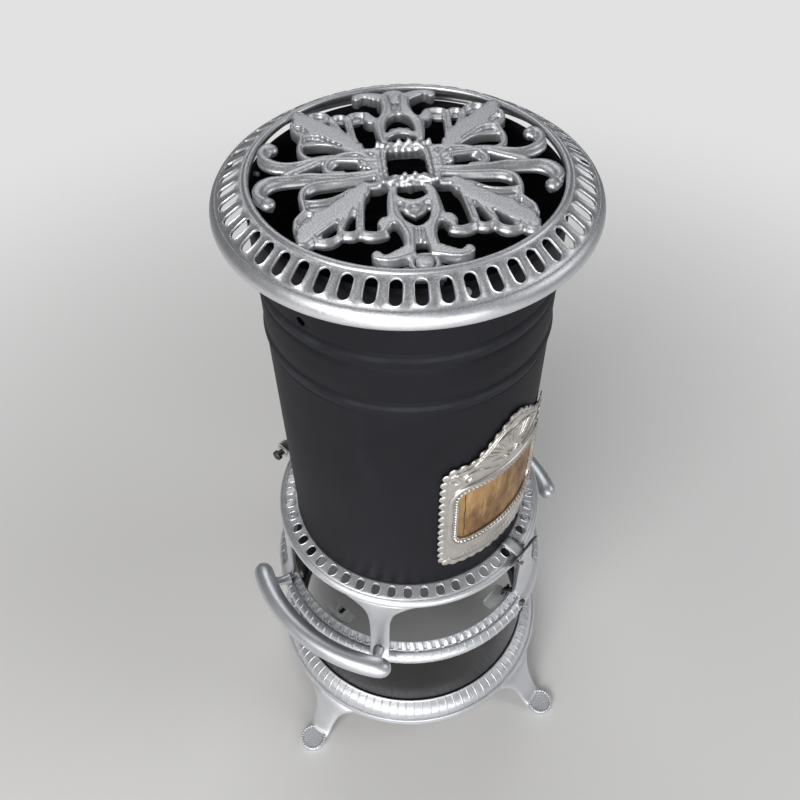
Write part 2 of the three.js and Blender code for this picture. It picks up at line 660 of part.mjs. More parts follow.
// ---------------------------------------------------------------- fount brackets
function makeBracket(azimuth) {
  const outer = ringBore - CLEARANCE;
  const inner = outer - BRACKET_REACH;
  const shoulder = outer - 4.2;
  const half = BRACKET_WIDTH / 2;
  const neck = BRACKET_NECK / 2;
  const plan = [
    [-half + 4, inner], [half - 4, inner], [half, inner + 4], [half, shoulder], [neck, shoulder],
    [neck, outer + 3], [-neck, outer + 3], [-neck, shoulder], [-half, shoulder], [-half, inner + 4],
  ];
  const plate = turnedPrism(plan, bracketHeight, bracketHeight + BRACKET_PLATE, azimuth);
  const flange = radialBox(
    azimuth, outer - BRACKET_PLATE, outer + 3, BRACKET_NECK, bracketHeight - BRACKET_FLANGE,
    bracketHeight + 1);
  const bore = rod(
    new THREE.Vector3(0, 0, galleryFoot - 9), new THREE.Vector3(0, 0, drumSeat), outer, SEGMENTS);
  const hood = [];
  for (let i = 0; i <= 6; i += 1) {
    const a = Math.PI * (i / 6);
    hood.push([6 * Math.cos(a), bracketHeight + 1 + 6.5 * Math.sin(a)]);
  }
  const arch = radialPrism(hood, shoulder - 5, shoulder - 3, azimuth);
  const hole = screwHole(azimuth, bracketScrewHeight, outer - 6, outer + 6);
  return join([plate, flange, arch]).intersect(bore).subtract(hole);
}

// ---------------------------------------------------------------- drum and sleeve
function sheetRing(radius, wall, bottom, top) {
  return revolve([[radius - wall, bottom], [radius, bottom], [radius, top], [radius - wall, top]]);
}

// Outline of the mica opening on the drum, [across, height], grown by a margin.
function micaOutline(margin, radius) {
  const half = radius * Math.sin(rad(MICA_HALF_ANGLE)) + margin;
  const bottom = drumBottom + MICA_BOTTOM - margin;
  const top = drumBottom + MICA_TOP + margin;
  const r = Math.max(MICA_CORNER + margin, 1);
  const points = [];
  [[half - r, bottom + r, 270], [half - r, top - r, 0], [-half + r, top - r, 90],
    [-half + r, bottom + r, 180]].forEach(([x, z, start]) => {
    for (let i = 0; i <= 3; i += 1) {
      const a = rad(start + i * 30);
      points.push([x + r * Math.cos(a), z + r * Math.sin(a)]);
    }
  });
  return points;
}

const plateInner = DRUM_RADIUS + CLEARANCE;
const plateOuter = plateInner + WINDOW_PLATE_THICKNESS;
const plateScrews = [[-29, 36], [29, 36], [-27, 152], [27, 152]];
const leafInner = DRUM_RADIUS + CLEARANCE;
const leafOuter = leafInner + HINGE_LEAF_THICKNESS;
const leafRivets = [[-18, 18], [-6, 18], [6, 18], [18, 18]];
const ringScrewHeight = drumTop - 6;
const ringScrewAzimuths = [-150, -30, 90];

// Block with an outline, through the drum's wall at the window.
function throughWall(outline) {
  return radialPrism(outline, wellInside, wellOutside, WINDOW_AZIMUTH);
}

function plateScrewHole([azimuth, height]) {
  return radialRod(
    WINDOW_AZIMUTH + azimuth, drumBottom + height, drumInside, drumOutside + 2,
    PLATE_SCREW_RADIUS * 0.6 + BOLT_FIT, HOLE_SIDES);
}

function leafRivetHole([azimuth, height]) {
  return screwHole(180 + azimuth, drumBottom + height, drumInside, drumOutside + 4);
}

function makeDrum() {
  const w = DRUM_RADIUS - DRUM_WALL;
  const outer = [[DRUM_RADIUS, drumBottom]];
  DRUM_RIB_HEIGHTS.forEach((height) => {
    const z = drumBottom + height;
    const bump = [[0, -DRUM_RIB_HALF_WIDTH], [DRUM_RIB_RISE, -1], [DRUM_RIB_RISE, 1],
      [0, DRUM_RIB_HALF_WIDTH]];
    bump.forEach(([r, dz]) => outer.push([DRUM_RADIUS + r, z + dz]));
  });
  outer.push([DRUM_RADIUS, drumTop]);
  const shell = revolve([...outer, [w, drumTop], [w, drumBottom]]);
  const opening = throughWall(micaOutline(-2.5, DRUM_RADIUS));
  const holes = [
    ...plateScrews.map((spot) => plateScrewHole(spot)),
    ...leafRivets.map((spot) => leafRivetHole(spot)),
    ...ringScrewAzimuths.map((a) => screwHole(a, ringScrewHeight, drumInside, drumOutside)),
    ...[0, 180].map((turn) => radialRod(
      DRUM_HOLE_AZIMUTH + turn, drumBottom + DRUM_HOLE_HEIGHT, drumInside, drumOutside,
      DRUM_HOLE_RADIUS, 10)),
  ];
  return cut(shell, [opening, ...holes]);
}

function makeSleeve() {
  const shell = sheetRing(SLEEVE_RADIUS, SLEEVE_WALL, sleeveBottom, sleeveTop);
  return cut(shell, LUG_AZIMUTHS.map((a) => screwHole(
    a, lugScrewHeight, SLEEVE_RADIUS - 6, SLEEVE_RADIUS + 4)));
}

// ---------------------------------------------------------------- top ring
function makeTopRing() {
  const ring = revolve(
    offsetProfile(TOP_RING_PROFILE, DRUM_RADIUS, drumTop), TOP_RING_SLOT_COUNT,
    TOP_RING_SLOT_START);
  const lugTop = trivetBottom - CLEARANCE;
  const w = RING_LUG_WIDTH / 2;
  const lugs = [0, 180].map((turn) => turnedPrism(
    [[-w * 0.7, topRingOpening - RING_LUG_REACH], [w * 0.7, topRingOpening - RING_LUG_REACH],
      [w, topRingOpening - RING_LUG_REACH * 0.6], [w, topRingOpening + 1.5],
      [-w, topRingOpening + 1.5], [-w, topRingOpening - RING_LUG_REACH * 0.6]],
    lugTop - RING_LUG_THICKNESS, lugTop, TRIVET_AZIMUTH + turn));
  const slots = slotTools(
    TOP_RING_SLOT_COUNT, DRUM_RADIUS + TOP_RING_SLOT_INNER, DRUM_RADIUS + TOP_RING_SLOT_OUTER,
    SLOT_WIDTH, drumTop - 9, ringInnerEdge + OVERRUN, TOP_RING_SLOT_START);
  const pin = polar(pinDistance, TRIVET_AZIMUTH);
  const pinHole = rod(
    pin.clone().setZ(drumTop - OVERRUN), pin.clone().setZ(drumTop + OVERRUN),
    PIN_RADIUS * 0.6 + BOLT_FIT, 12);
  const holes = ringScrewAzimuths.map((a) => screwHole(
    a, ringScrewHeight, topRingOpening - OVERRUN, DRUM_RADIUS + OVERRUN / 4));
  return cut(join([ring, ...lugs]), [...slots, pinHole, ...holes]);
}

// Round pin with a riveted tail in the front lug.
function makePin() {
  const base = polar(pinDistance, TRIVET_AZIMUTH);
  const lugTop = trivetBottom - CLEARANCE;
  const at = (z) => base.clone().setZ(z);
  const head = rod(at(lugTop + CLEARANCE), at(trivetTop - 0.6), PIN_RADIUS, 16);
  const shank = rod(at(lugTop - RING_LUG_THICKNESS - 2.5), at(lugTop + 1), PIN_RADIUS * 0.6, 12);
  const tail = rod(
    at(lugTop - RING_LUG_THICKNESS - 2.5), at(lugTop - RING_LUG_THICKNESS - CLEARANCE),
    PIN_RADIUS, 12);
  return join([head, shank, tail]);
}

// ---------------------------------------------------------------- trivet
function sized(points) {
  return points.map((point) => point.map((value) => value * trivetUnit));
}

function quarterStrokes(sx, sy) {
  const lines = [
    TRIVET_LEAF, ...TRIVET_LEAF_RIBS, TRIVET_LEAF_LOOP, TRIVET_UPPER_ARM, TRIVET_C_SCROLL,
    TRIVET_EYE,
  ];
  return lines.map((line) => strokeOutline(sized(mirrored(line, sx, sy)), 1));
}

function lyre(sy) {
  const whole = (half) => sized([...half, ...mirrored(half, -1, 1).reverse()]
    .map(([x, y]) => [x, sy * y]));
  const body = prism(whole([...LYRE_OUTLINE, ...LYRE_FOOT]), trivetBottom, trivetTop);
  const holes = [LYRE_HOLE, LYRE_SHIELD, LYRE_WINDOW].map((hole) => prism(
    whole(hole), trivetBottom - 1, trivetTop + 1));
  return cut(body, holes);
}

function roundedFrame(halfX, halfY, corner, steps = 3) {
  const points = [];
  [[1, -1, 270], [1, 1, 0], [-1, 1, 90], [-1, -1, 180]].forEach(([sx, sy, start]) => {
    for (let i = 0; i <= steps; i += 1) {
      const a = rad(start + (90 * i) / steps);
      points.push([
        sx * (halfX - corner) + corner * Math.cos(a), sy * (halfY - corner) + corner * Math.sin(a)]);
    }
  });
  return points;
}

function makeTrivet() {
  const [hx, hy] = [COLLAR_HALF_WIDTH, COLLAR_HALF_LENGTH];
  const strokes = [[1, 1], [-1, 1], [1, -1], [-1, -1]].flatMap(([sx, sy]) => quarterStrokes(sx, sy))
    .map((outline) => prism(outline, trivetBottom, trivetTop));
  const collar = prism(
    roundedFrame(hx + COLLAR_WALL, hy + COLLAR_WALL, COLLAR_CORNER * 1.5), trivetBottom,
    trivetTop + 1);
  const petals = [-1, 1].flatMap((sy) => [-1.5, -0.5, 0.5, 1.5].map((step) => prism(
    disc(step * PETAL_PITCH, sy * (hy + COLLAR_WALL - PETAL_INSET), PETAL_RADIUS, 8),
    trivetTop - 1, trivetTop + COLLAR_RISE)));
  const opening = prism(
    roundedFrame(hx, hy, COLLAR_CORNER), trivetBottom - 1, trivetTop + COLLAR_RISE + 1);
  const plan = join([...strokes, lyre(1), lyre(-1), collar, ...petals]).subtract(opening);
  const pinHole = rod(
    new THREE.Vector3(0, -pinDistance, trivetBottom - 1),
    new THREE.Vector3(0, -pinDistance, trivetTop + 1), PIN_RADIUS + PIN_FIT, 16);
  const turned = turnSolid(plan.subtract(pinHole), TRIVET_AZIMUTH);
  const edge = topRingOpening - 0.8;
  const ringRoom = revolve([
    [edge, trivetBottom - 5], [edge + 60, trivetBottom - 5], [edge + 60, drumTop + 8],
    [DRUM_RADIUS - 0.4, drumTop + 12.7 + CLEARANCE], [edge, drumTop + 12.7 + CLEARANCE]]);
  return turned.subtract(ringRoom);
}

function turnSolid(piece, azimuth) {
  const mesh = piece.getMesh();
  const geometry = new THREE.BufferGeometry();
  geometry.setAttribute('position', new THREE.BufferAttribute(mesh.vertProperties, 3));
  geometry.setIndex(new THREE.BufferAttribute(mesh.triVerts, 1));
  geometry.setAttribute('normal', geometry.attributes.position.clone());
  geometry.rotateZ(rad(azimuth));
  return solid(geometry);
}

// ---------------------------------------------------------------- window
function plateOutline() {
  const scallops = (from, to, count, depth) => {
    const points = [];
    const length = Math.hypot(to[0] - from[0], to[1] - from[1]);
    const nx = (to[1] - from[1]) / length;
    const ny = -(to[0] - from[0]) / length;
    for (let i = 0; i < count * 2; i += 1) {
      const t = i / (count * 2);
      const bulge = i % 2 === 1 ? depth : 0;
      points.push([
        from[0] + (to[0] - from[0]) * t + nx * bulge, from[1] + (to[1] - from[1]) * t + ny * bulge]);
    }
    return points;
  };
  const half = plateOuter * Math.sin(rad(WINDOW_HALF_ANGLE));
  const b = WINDOW_BOTTOM;
  const s = WINDOW_SHOULDER;
  const c = WINDOW_CREST;
  const right = [
    ...scallops([half - 8, b], [half, b + 8], 1, 1), ...scallops([half, b + 8], [half, s - 8], 9, 1.2),
    [half - 1, s - 2], ...scallops([half - 5, s + 1], [half * 0.62, s + 6], 2, 1.2),
    ...scallops([half * 0.6, s + 8], [half * 0.3, c - 8], 3, 1.6),
    ...scallops([half * 0.28, c - 6], [6, c - 1], 2, 1.4),
  ];
  const left = right.map(([x, z]) => [-x, z]).reverse();
  return [...right, [0, c + 0.8], ...left].map(([x, z]) => [x, z + drumBottom]);
}

function makeWindowPlate() {
  const blank = throughWall(plateOutline());
  const bottom = drumBottom + WINDOW_BOTTOM - 4;
  const top = drumBottom + WINDOW_CREST + 4;
  const sheet = revolve([
    [plateInner, bottom], [plateOuter, bottom], [plateOuter, top], [plateInner, top]]);
  const bead = revolve([
    [plateInner + 0.5, bottom], [plateOuter + 1.6, bottom], [plateOuter + 1.6, top],
    [plateInner + 0.5, top]]);
  const frame = throughWall(micaOutline(5, plateOuter)).intersect(bead);
  const pocketShell = revolve([
    [plateInner - 1, bottom], [plateInner + MICA_THICKNESS + CLEARANCE, bottom],
    [plateInner + MICA_THICKNESS + CLEARANCE, top], [plateInner - 1, top]]);
  const pocket = throughWall(micaOutline(MICA_MARGIN + CLEARANCE, DRUM_RADIUS))
    .intersect(pocketShell);
  const opening = throughWall(micaOutline(0, DRUM_RADIUS));
  const holes = plateScrews.map((spot) => plateScrewHole(spot));
  return cut(sheet.intersect(blank).add(frame), [opening, pocket, ...holes]);
}

function makeMica() {
  const sheet = sheetRing(
    plateInner + MICA_THICKNESS, MICA_THICKNESS, drumBottom + 20, drumBottom + 180);
  return throughWall(micaOutline(MICA_MARGIN, DRUM_RADIUS)).intersect(sheet);
}

function makePlateScrew([azimuth, height]) {
  const a = WINDOW_AZIMUTH + azimuth;
  const z = drumBottom + height;
  const seat = plateOuter + CLEARANCE;
  const head = radialRod(a, z, seat, seat + 1.2, PLATE_SCREW_RADIUS, 8);
  return head.add(radialRod(a, z, DRUM_RADIUS - 4, seat + 0.4, PLATE_SCREW_RADIUS * 0.6, HOLE_SIDES));
}

// ---------------------------------------------------------------- hinge leaf on the drum
const leafArmInner = HINGE_EAR_INNER + HINGE_EAR_THICKNESS + CLEARANCE;

function makeHingeLeaf() {
  const bottom = drumBottom + HINGE_LEAF_BOTTOM;
  const top = bottom + HINGE_LEAF_HEIGHT;
  const strap = revolve([
    [leafInner, bottom], [leafOuter, bottom], [leafOuter, top], [leafInner, top]]);
  const half = leafOuter * Math.sin(rad(HINGE_LEAF_HALF_ANGLE));
  const blank = sidePrism([
    [wellInside, bottom - 1], [wellOutside, bottom - 1], [wellOutside, top + 1],
    [wellInside, top + 1]], -half, half);
  const arms = [-1, 1].map((side) => {
    const outline = [
      [DRUM_RADIUS - 12, bottom], [hingeBack - 12.5, bottom - 3],
      ...roundEnd(HINGE_EAR_RADIUS - 1.5, -140, 60, 8), [DRUM_RADIUS + 5, top - 3],
      [DRUM_RADIUS - 12, top],
    ];
    return hingeSide(outline, leafArmInner, HINGE_LEAF_THICKNESS, side);
  });
  const drumRoom = revolve([
    [0, bottom - 60], [leafInner, bottom - 60], [leafInner, top + 40], [0, top + 40]]);
  const holes = [
    ...[-1, 1].map((side) => hingeHole(HINGE_BOLT_RADIUS + BOLT_FIT, side)),
    ...leafRivets.map((spot) => leafRivetHole(spot)),
  ];
  return cut(join([strap.intersect(blank), ...arms]), [drumRoom, ...holes]);
}

function sideRod(side, inner, outer, radius, sides) {
  return rod(
    new THREE.Vector3(side * inner, hingeBack, hingeHeight),
    new THREE.Vector3(side * outer, hingeBack, hingeHeight), radius, sides);
}

const washerSeat = leafArmInner + HINGE_LEAF_THICKNESS + CLEARANCE;
const headSeat = washerSeat + HINGE_WASHER_THICKNESS + CLEARANCE;
const nutSeat = HINGE_EAR_INNER - CLEARANCE;

function makeHingeBolt(side) {
  return sideRod(side, nutSeat - HINGE_NUT_THICKNESS - 2, headSeat + 1, HINGE_BOLT_RADIUS, 12)
    .add(sideRod(side, headSeat, headSeat + HINGE_HEAD_LENGTH, HINGE_HEAD_RADIUS, 12));
}

function makeHingeWasher(side) {
  return sideRod(side, washerSeat, washerSeat + HINGE_WASHER_THICKNESS, HINGE_WASHER_RADIUS, 16)
    .subtract(hingeHole(HINGE_BOLT_RADIUS + BOLT_FIT, side));
}

function makeHingeNut(side) {
  return sideRod(side, nutSeat - HINGE_NUT_THICKNESS, nutSeat, HINGE_NUT_RADIUS, 6)
    .subtract(hingeHole(HINGE_BOLT_RADIUS + BOLT_FIT, side));
}

// ---------------------------------------------------------------- spring catch
const catchFootFace = ringBoreFlat - CATCH_SWING_ROOM;
const catchRun = DRUM_RADIUS + RAIL_LIP + 2 * CLEARANCE + CATCH_LEAF_THICKNESS;
const catchTop = drumSeat - 8;

function makeCatchLeaf() {
  const t = CATCH_LEAF_THICKNESS;
  const f = catchFootFace;
  const path = [
    [f - t, galleryFoot + 12], [f - t, galleryFoot + 19.4], [f + 0.4, galleryFoot + 21.6],
    [catchRun - t, galleryFoot + 30], [catchRun - t, catchTop],
    [catchRun, catchTop], [catchRun, galleryFoot + 29.6], [f + 1.2, galleryFoot + 20.8],
    [f, galleryFoot + 19], [f, galleryFoot + 12],
  ];
  const stem = extrusion(toShape(path), CATCH_LEAF_WIDTH);
  stem.applyMatrix4(new THREE.Matrix4().makeBasis(
    new THREE.Vector3(0, -1, 0), new THREE.Vector3(0, 0, 1), new THREE.Vector3(-1, 0, 0)));
  stem.translate(CATCH_LEAF_WIDTH / 2, 0, 0);
  stem.rotateZ(rad(CATCH_AZIMUTH));
  const footMiddle = f * Math.sin(rad(CATCH_FOOT_AZIMUTH - CATCH_AZIMUTH));
  const [left, right] = [footMiddle - CATCH_FOOT_WIDTH / 2, footMiddle + CATCH_FOOT_WIDTH / 2];
  const [low, high] = [catchScrewHeight - 5.5, galleryFoot + 14];
  const foot = radialPrism(
    [[left, low], [right, low], [right, high], [left, high]], f - t, f, CATCH_AZIMUTH);
  const hole = radialRod(
    CATCH_FOOT_AZIMUTH, catchScrewHeight, f - 6, f + 6, SCREW_RADIUS + BOLT_FIT + 0.2, 8);
  return solid(stem).add(foot).subtract(hole);
}

function makeCatchPlate() {
  const t = 1.4;
  const r0 = catchRun / Math.cos(Math.PI / SEGMENTS) + CLEARANCE;
  const z0 = catchTop - 4;
  const z1 = z0 + CATCH_PLATE_HEIGHT;
  const section = [
    [r0, z0], [r0 + t, z0], [r0 + t, drumSeat], [r0 + t + CATCH_PLATE_FLARE, z1],
    [r0 + CATCH_PLATE_FLARE, z1], [r0, drumSeat + 1.2], [r0 - 12, drumSeat + 5],
    [DRUM_RADIUS + 1, drumSeat + 7], [DRUM_RADIUS + 1, drumSeat + 5.6],
    [r0 - 12, drumSeat + 3.6], [r0, drumSeat - 0.4],
  ];
  const half = CATCH_PLATE_WIDTH / 2;
  const tongue = CATCH_LEAF_WIDTH * 0.9;
  const inner = drumSeat + 20;
  const wing = [
    [-half, z0 + 9], [-tongue, z0 - 1], [tongue, z0 - 1], [half, z0 + 9], [half, inner],
    [-half, inner],
  ];
  const turned = revolve(section);
  const body = radialPrism(wing, catchRun - 1, wellOutside, CATCH_AZIMUTH).intersect(turned);
  const hook = radialBox(CATCH_AZIMUTH, wellInside, catchRun + 1, 2 * tongue, z0, inner)
    .intersect(turned);
  return body.add(hook);
}

function makeCatchScrew() {
  const head = radialRod(
    CATCH_FOOT_AZIMUTH, catchScrewHeight, catchSeat + CLEARANCE, catchSeat + 3.4,
    CATCH_HEAD_RADIUS, 12);
  const shank = radialRod(
    CATCH_FOOT_AZIMUTH, catchScrewHeight, catchFootFace - 6, catchSeat + 1, SCREW_RADIUS);
  return head.add(shank);
}

function makeCatchNut() {
  const outer = catchFootFace - CATCH_LEAF_THICKNESS - CATCH_SWING_ROOM;
  return radialRod(CATCH_FOOT_AZIMUTH, catchScrewHeight, outer - 2.6, outer, 3.4, 6)
    .subtract(screwHole(CATCH_FOOT_AZIMUTH, catchScrewHeight, outer - 8, outer + 4));
}

// ---------------------------------------------------------------- assembly
place('base_casting', makeBase(), 'silver');
place('lower_sleeve', makeSleeve(), 'black');
place('gallery_casting', makeGallery(), 'silver');
LUG_AZIMUTHS.forEach((azimuth, i) => {
  place(`sleeve_screw_${i + 1}`, radialScrew(
    azimuth, lugScrewHeight, SLEEVE_RADIUS - 4, lugFace + CLEARANCE, true), 'blackSteel');
});
place('handle_left', makeHandle(-1), 'silver');
place('handle_right', makeHandle(1), 'silver');
[-1, 1].flatMap(armAzimuths).forEach((azimuth, i) => {
  place(`handle_screw_${i + 1}`, radialScrew(
    azimuth, armHeight, ringBore + 19, ringBoreFlat - CLEARANCE, false), 'steel');
});
BRACKET_AZIMUTHS.forEach((azimuth, i) => {
  place(`fount_bracket_${i + 1}`, makeBracket(azimuth), 'steel');
  place(`bracket_screw_${i + 1}`, radialScrew(
    azimuth, bracketScrewHeight, ringBore + 5, ringBoreFlat - BRACKET_PLATE - 2.5 * CLEARANCE, false),
  'blackSteel');
});
place('drum_shell', makeDrum(), 'black');
place('top_ring', makeTopRing(), 'silver');
ringScrewAzimuths.forEach((azimuth, i) => {
  place(`ring_screw_${i + 1}`, radialScrew(
    azimuth, ringScrewHeight, topRingOpening - 2, DRUM_RADIUS + CLEARANCE, true), 'steel');
});
place('trivet_pin', makePin(), 'silver');
place('trivet', makeTrivet(), 'silver');
place('window_plate', makeWindowPlate(), 'nickel');
place('mica_pane', makeMica(), 'mica');
plateScrews.forEach((spot, i) => {
  place(`plate_screw_${i + 1}`, makePlateScrew(spot), 'blackSteel');
});
place('hinge_leaf', makeHingeLeaf(), 'blackSteel');
leafRivets.forEach(([azimuth, height], i) => {
  place(`leaf_rivet_${i + 1}`, radialScrew(
    180 + azimuth, drumBottom + height, DRUM_RADIUS - 4, leafOuter + CLEARANCE, true), 'blackSteel');
});
[-1, 1].forEach((side) => {
  const name = side < 0 ? 'left' : 'right';
  place(`hinge_bolt_${name}`, makeHingeBolt(side), 'blackSteel');
  place(`hinge_washer_${name}`, makeHingeWasher(side), 'steel');
  place(`hinge_nut_${name}`, makeHingeNut(side), 'steel');
});
place('catch_leaf', makeCatchLeaf(), 'steel');
place('catch_plate', makeCatchPlate(), 'steel');
place('catch_screw', makeCatchScrew(), 'blackSteel');
place('catch_nut', makeCatchNut(), 'blackSteel');

export default stove;
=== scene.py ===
import math

import bmesh
import bpy
from mathutils import Matrix, Vector


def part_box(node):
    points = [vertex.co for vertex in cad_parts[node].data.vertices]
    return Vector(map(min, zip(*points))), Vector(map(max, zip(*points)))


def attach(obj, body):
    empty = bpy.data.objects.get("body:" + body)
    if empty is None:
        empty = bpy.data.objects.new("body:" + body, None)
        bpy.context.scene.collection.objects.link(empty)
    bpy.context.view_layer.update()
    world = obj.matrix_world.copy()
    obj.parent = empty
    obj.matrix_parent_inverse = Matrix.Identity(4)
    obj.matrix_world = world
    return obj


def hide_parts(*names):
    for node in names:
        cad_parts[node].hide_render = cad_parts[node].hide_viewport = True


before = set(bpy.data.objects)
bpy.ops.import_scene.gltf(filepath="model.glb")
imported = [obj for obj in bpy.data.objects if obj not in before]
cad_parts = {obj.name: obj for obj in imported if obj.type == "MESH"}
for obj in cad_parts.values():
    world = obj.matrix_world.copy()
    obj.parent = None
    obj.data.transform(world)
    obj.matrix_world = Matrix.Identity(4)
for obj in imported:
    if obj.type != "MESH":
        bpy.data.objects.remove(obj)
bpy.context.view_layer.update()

# Portable cylindrical parlour stove. Lengths in the tables below are millimetres, and azimuths
# are degrees from the window side (-Y), positive towards +X.
MM = 0.001

DRUM_RADIUS = 105
DRUM_BOTTOM = 270.2
DRUM_TOP = 604.2
RIB_HEIGHTS = (500.4, 545.6)
SPARE_HOLE_HEIGHT = 558.5
SPARE_HOLE_RADIUS = 3.7
SLEEVE_RADIUS = 124.5
SLEEVE_BOTTOM = 50.3
SLEEVE_TOP = 175
WINDOW_AZIMUTH = -2
WINDOW_RADIUS = 106.4
TRIVET_AZIMUTH = -42.5
LEG_AZIMUTHS = (-84.7, 5.3, 95.3, 185.3)
POST_AZIMUTHS = (-61.3, -120, 180, 120, 66)
PANEL_AZIMUTH = 18
LUG_AZIMUTHS = (-112, 8.5, 128)
BRACKET_AZIMUTHS = (-85.5, 0.8, 94.5, -175.5)
SPARE_HOLE_AZIMUTH = -88
SCREW_AZIMUTH = 7.2
CATCH_AZIMUTH = 4.6
RING_SLOTS = 50
RELIEF_COUNT = 98
FOOT_RADIUS = 177
PAD_BEADS = 26
PAD_GRAINS = 60
GOLDEN_ANGLE = 2.39996  # radians from one grain to the next, which spreads them evenly
HANDLE_RADIUS = 151
PIN_RADIUS = 94.5
GRATE_BOTTOM = 609.9
GRATE_TOP = 617.8
AS_DRAWN = (1,)
BACKDROP = (0.76, 0.76, 0.76, 1)
CAMERA_AZIMUTH = -48.5


# ------------------------------------------------------------------ shader writing
class Wire:
    """A value in a shader, so that its maths can be written as Python expressions."""

    def __init__(self, board, socket):
        self.board, self.socket = board, socket

    def worked(self, operation, first, second):
        return self.board.node("ShaderNodeMath", {"operation": operation}, {0: first, 1: second})

    def __add__(self, other):
        return self.worked("ADD", self, other)

    def __radd__(self, other):
        return self.worked("ADD", other, self)

    def __mul__(self, other):
        return self.worked("MULTIPLY", self, other)

    def __rmul__(self, other):
        return self.worked("MULTIPLY", other, self)


class Board:
    """A material being written. Its patterns lie on the piece's own Object coordinates."""

    def __init__(self, name):
        self.material = bpy.data.materials.new(name)
        self.material.use_nodes = True
        self.tree = self.material.node_tree
        self.tree.nodes.clear()
        self.place = self.node("ShaderNodeTexCoord", {}, {}, "Object")

    def node(self, kind, settings, inputs, output=0):
        made = self.tree.nodes.new(kind)
        for name, value in settings.items():
            setattr(made, name, value)
        for name, value in inputs.items():
            if isinstance(value, Wire):
                self.tree.links.new(value.socket, made.inputs[name])
            else:
                made.inputs[name].default_value = value
        return Wire(self, made.outputs[output])

    def noise(self, scale, detail, roughness=0.55, stretch=None):
        at = self.place
        if stretch:
            at = self.node("ShaderNodeMapping", {}, {"Vector": at, "Scale": stretch})
        return self.node("ShaderNodeTexNoise", {},
                         {"Vector": at, "Scale": scale, "Detail": detail, "Roughness": roughness})

    def step(self, value, low, high, start=0.0, end=1.0):
        """Runs smoothly from start to end as a value goes from low to high."""
        return self.node("ShaderNodeMapRange", {"interpolation_type": "SMOOTHSTEP"},
                         {0: value, 1: low, 2: high, 3: start, 4: end})

    def within(self, value, low, high, soft):
        """One from low to high, fading to nothing over a soft edge on each side."""
        return self.step(value, low - soft, low) * self.step(value, high, high + soft, 1.0, 0.0)

    def blend(self, share, first, second):
        first = (*first, 1) if isinstance(first, tuple) else first
        second = (*second, 1) if isinstance(second, tuple) else second
        return self.node("ShaderNodeMix", {"data_type": "RGBA"}, {0: share, 6: first, 7: second}, 2)

    def bump(self, height, strength, depth, under=None):
        inputs = {"Height": height, "Strength": strength, "Distance": depth}
        if under:
            inputs["Normal"] = under
        return self.node("ShaderNodeBump", {}, inputs)

    def facing_up(self):
        around = self.node("ShaderNodeTexCoord", {}, {}, "Normal")
        return self.node("ShaderNodeSeparateXYZ", {}, {0: around}, "Z")

    def height(self):
        return self.node("ShaderNodeSeparateXYZ", {}, {0: self.place}, "Z")

    def finish_with(self, surface):
        out = self.tree.nodes.new("ShaderNodeOutputMaterial")
        self.tree.links.new(surface.socket, out.inputs["Surface"])
        return self.material

    def done(self, **inputs):
        """Ends the material with a Principled surface; an underscore stands for a space."""
        named = {name.replace("_", " "): value for name, value in inputs.items()}
        return self.finish_with(self.node("ShaderNodeBsdfPrincipled", {}, named))


def aluminium_paint(name, top_shading):
    """Silver paint; the second argument is how far its level tops are painted darker, towards grey grain,
    as painted shade.
    """
    b = Board(name)
    broad = b.noise(14, 3)
    cloud = b.noise(55, 4)
    grain = b.noise(900, 3, 0.7)
    pits = b.noise(420, 2, 0.6)
    # Painted shade: the more a face looks up, the further it is painted towards the darker grey grain
    # below, standing in for the dimmer look of level tops under this light; those faces are also made
    # rougher.
    top = b.step(b.facing_up(), 0.45, 0.95)
    tint = b.blend(b.step(broad, 0.35, 0.65), (0.72, 0.73, 0.76), (0.82, 0.83, 0.86))
    flake = b.blend(b.step(grain, 0.42, 0.66, 0.0, 0.45), tint, (0.93, 0.94, 0.96))
    shaded_top_grain = b.blend(b.step(grain, 0.40, 0.62), (0.33, 0.335, 0.35), (0.60, 0.605, 0.62))
    skin_tone = b.blend(top * top_shading, flake, shaded_top_grain)
    worn = b.blend(b.step(cloud, 0.60, 0.78, 0.0, 0.35), skin_tone, (0.40, 0.40, 0.415))
    rough = 0.33 + 0.10 * cloud + 0.05 * grain + 0.12 * top
    skin = b.bump(pits, 0.24, 0.0006)
    skin = b.bump(grain, 0.30, 0.00024, skin)
    return b.done(Base_Color=worn, Metallic=0.92, Roughness=rough, Normal=skin)


def handle_paint():
    b = Board("aluminium_painted_handle")
    broad = b.noise(20, 3)
    grain = b.noise(1100, 3, 0.7)
    orange_peel = b.noise(260, 2)
    tint = b.blend(b.step(broad, 0.3, 0.7), (0.56, 0.57, 0.60), (0.66, 0.67, 0.70))
    flake = b.blend(b.step(grain, 0.45, 0.7, 0.0, 0.5), tint, (0.82, 0.83, 0.86))
    skin = b.bump(orange_peel, 0.15, 0.0004)
    skin = b.bump(grain, 0.22, 0.0002, skin)
    return b.done(Base_Color=flake, Metallic=0.84, Roughness=0.38 + 0.12 * broad, Normal=skin)


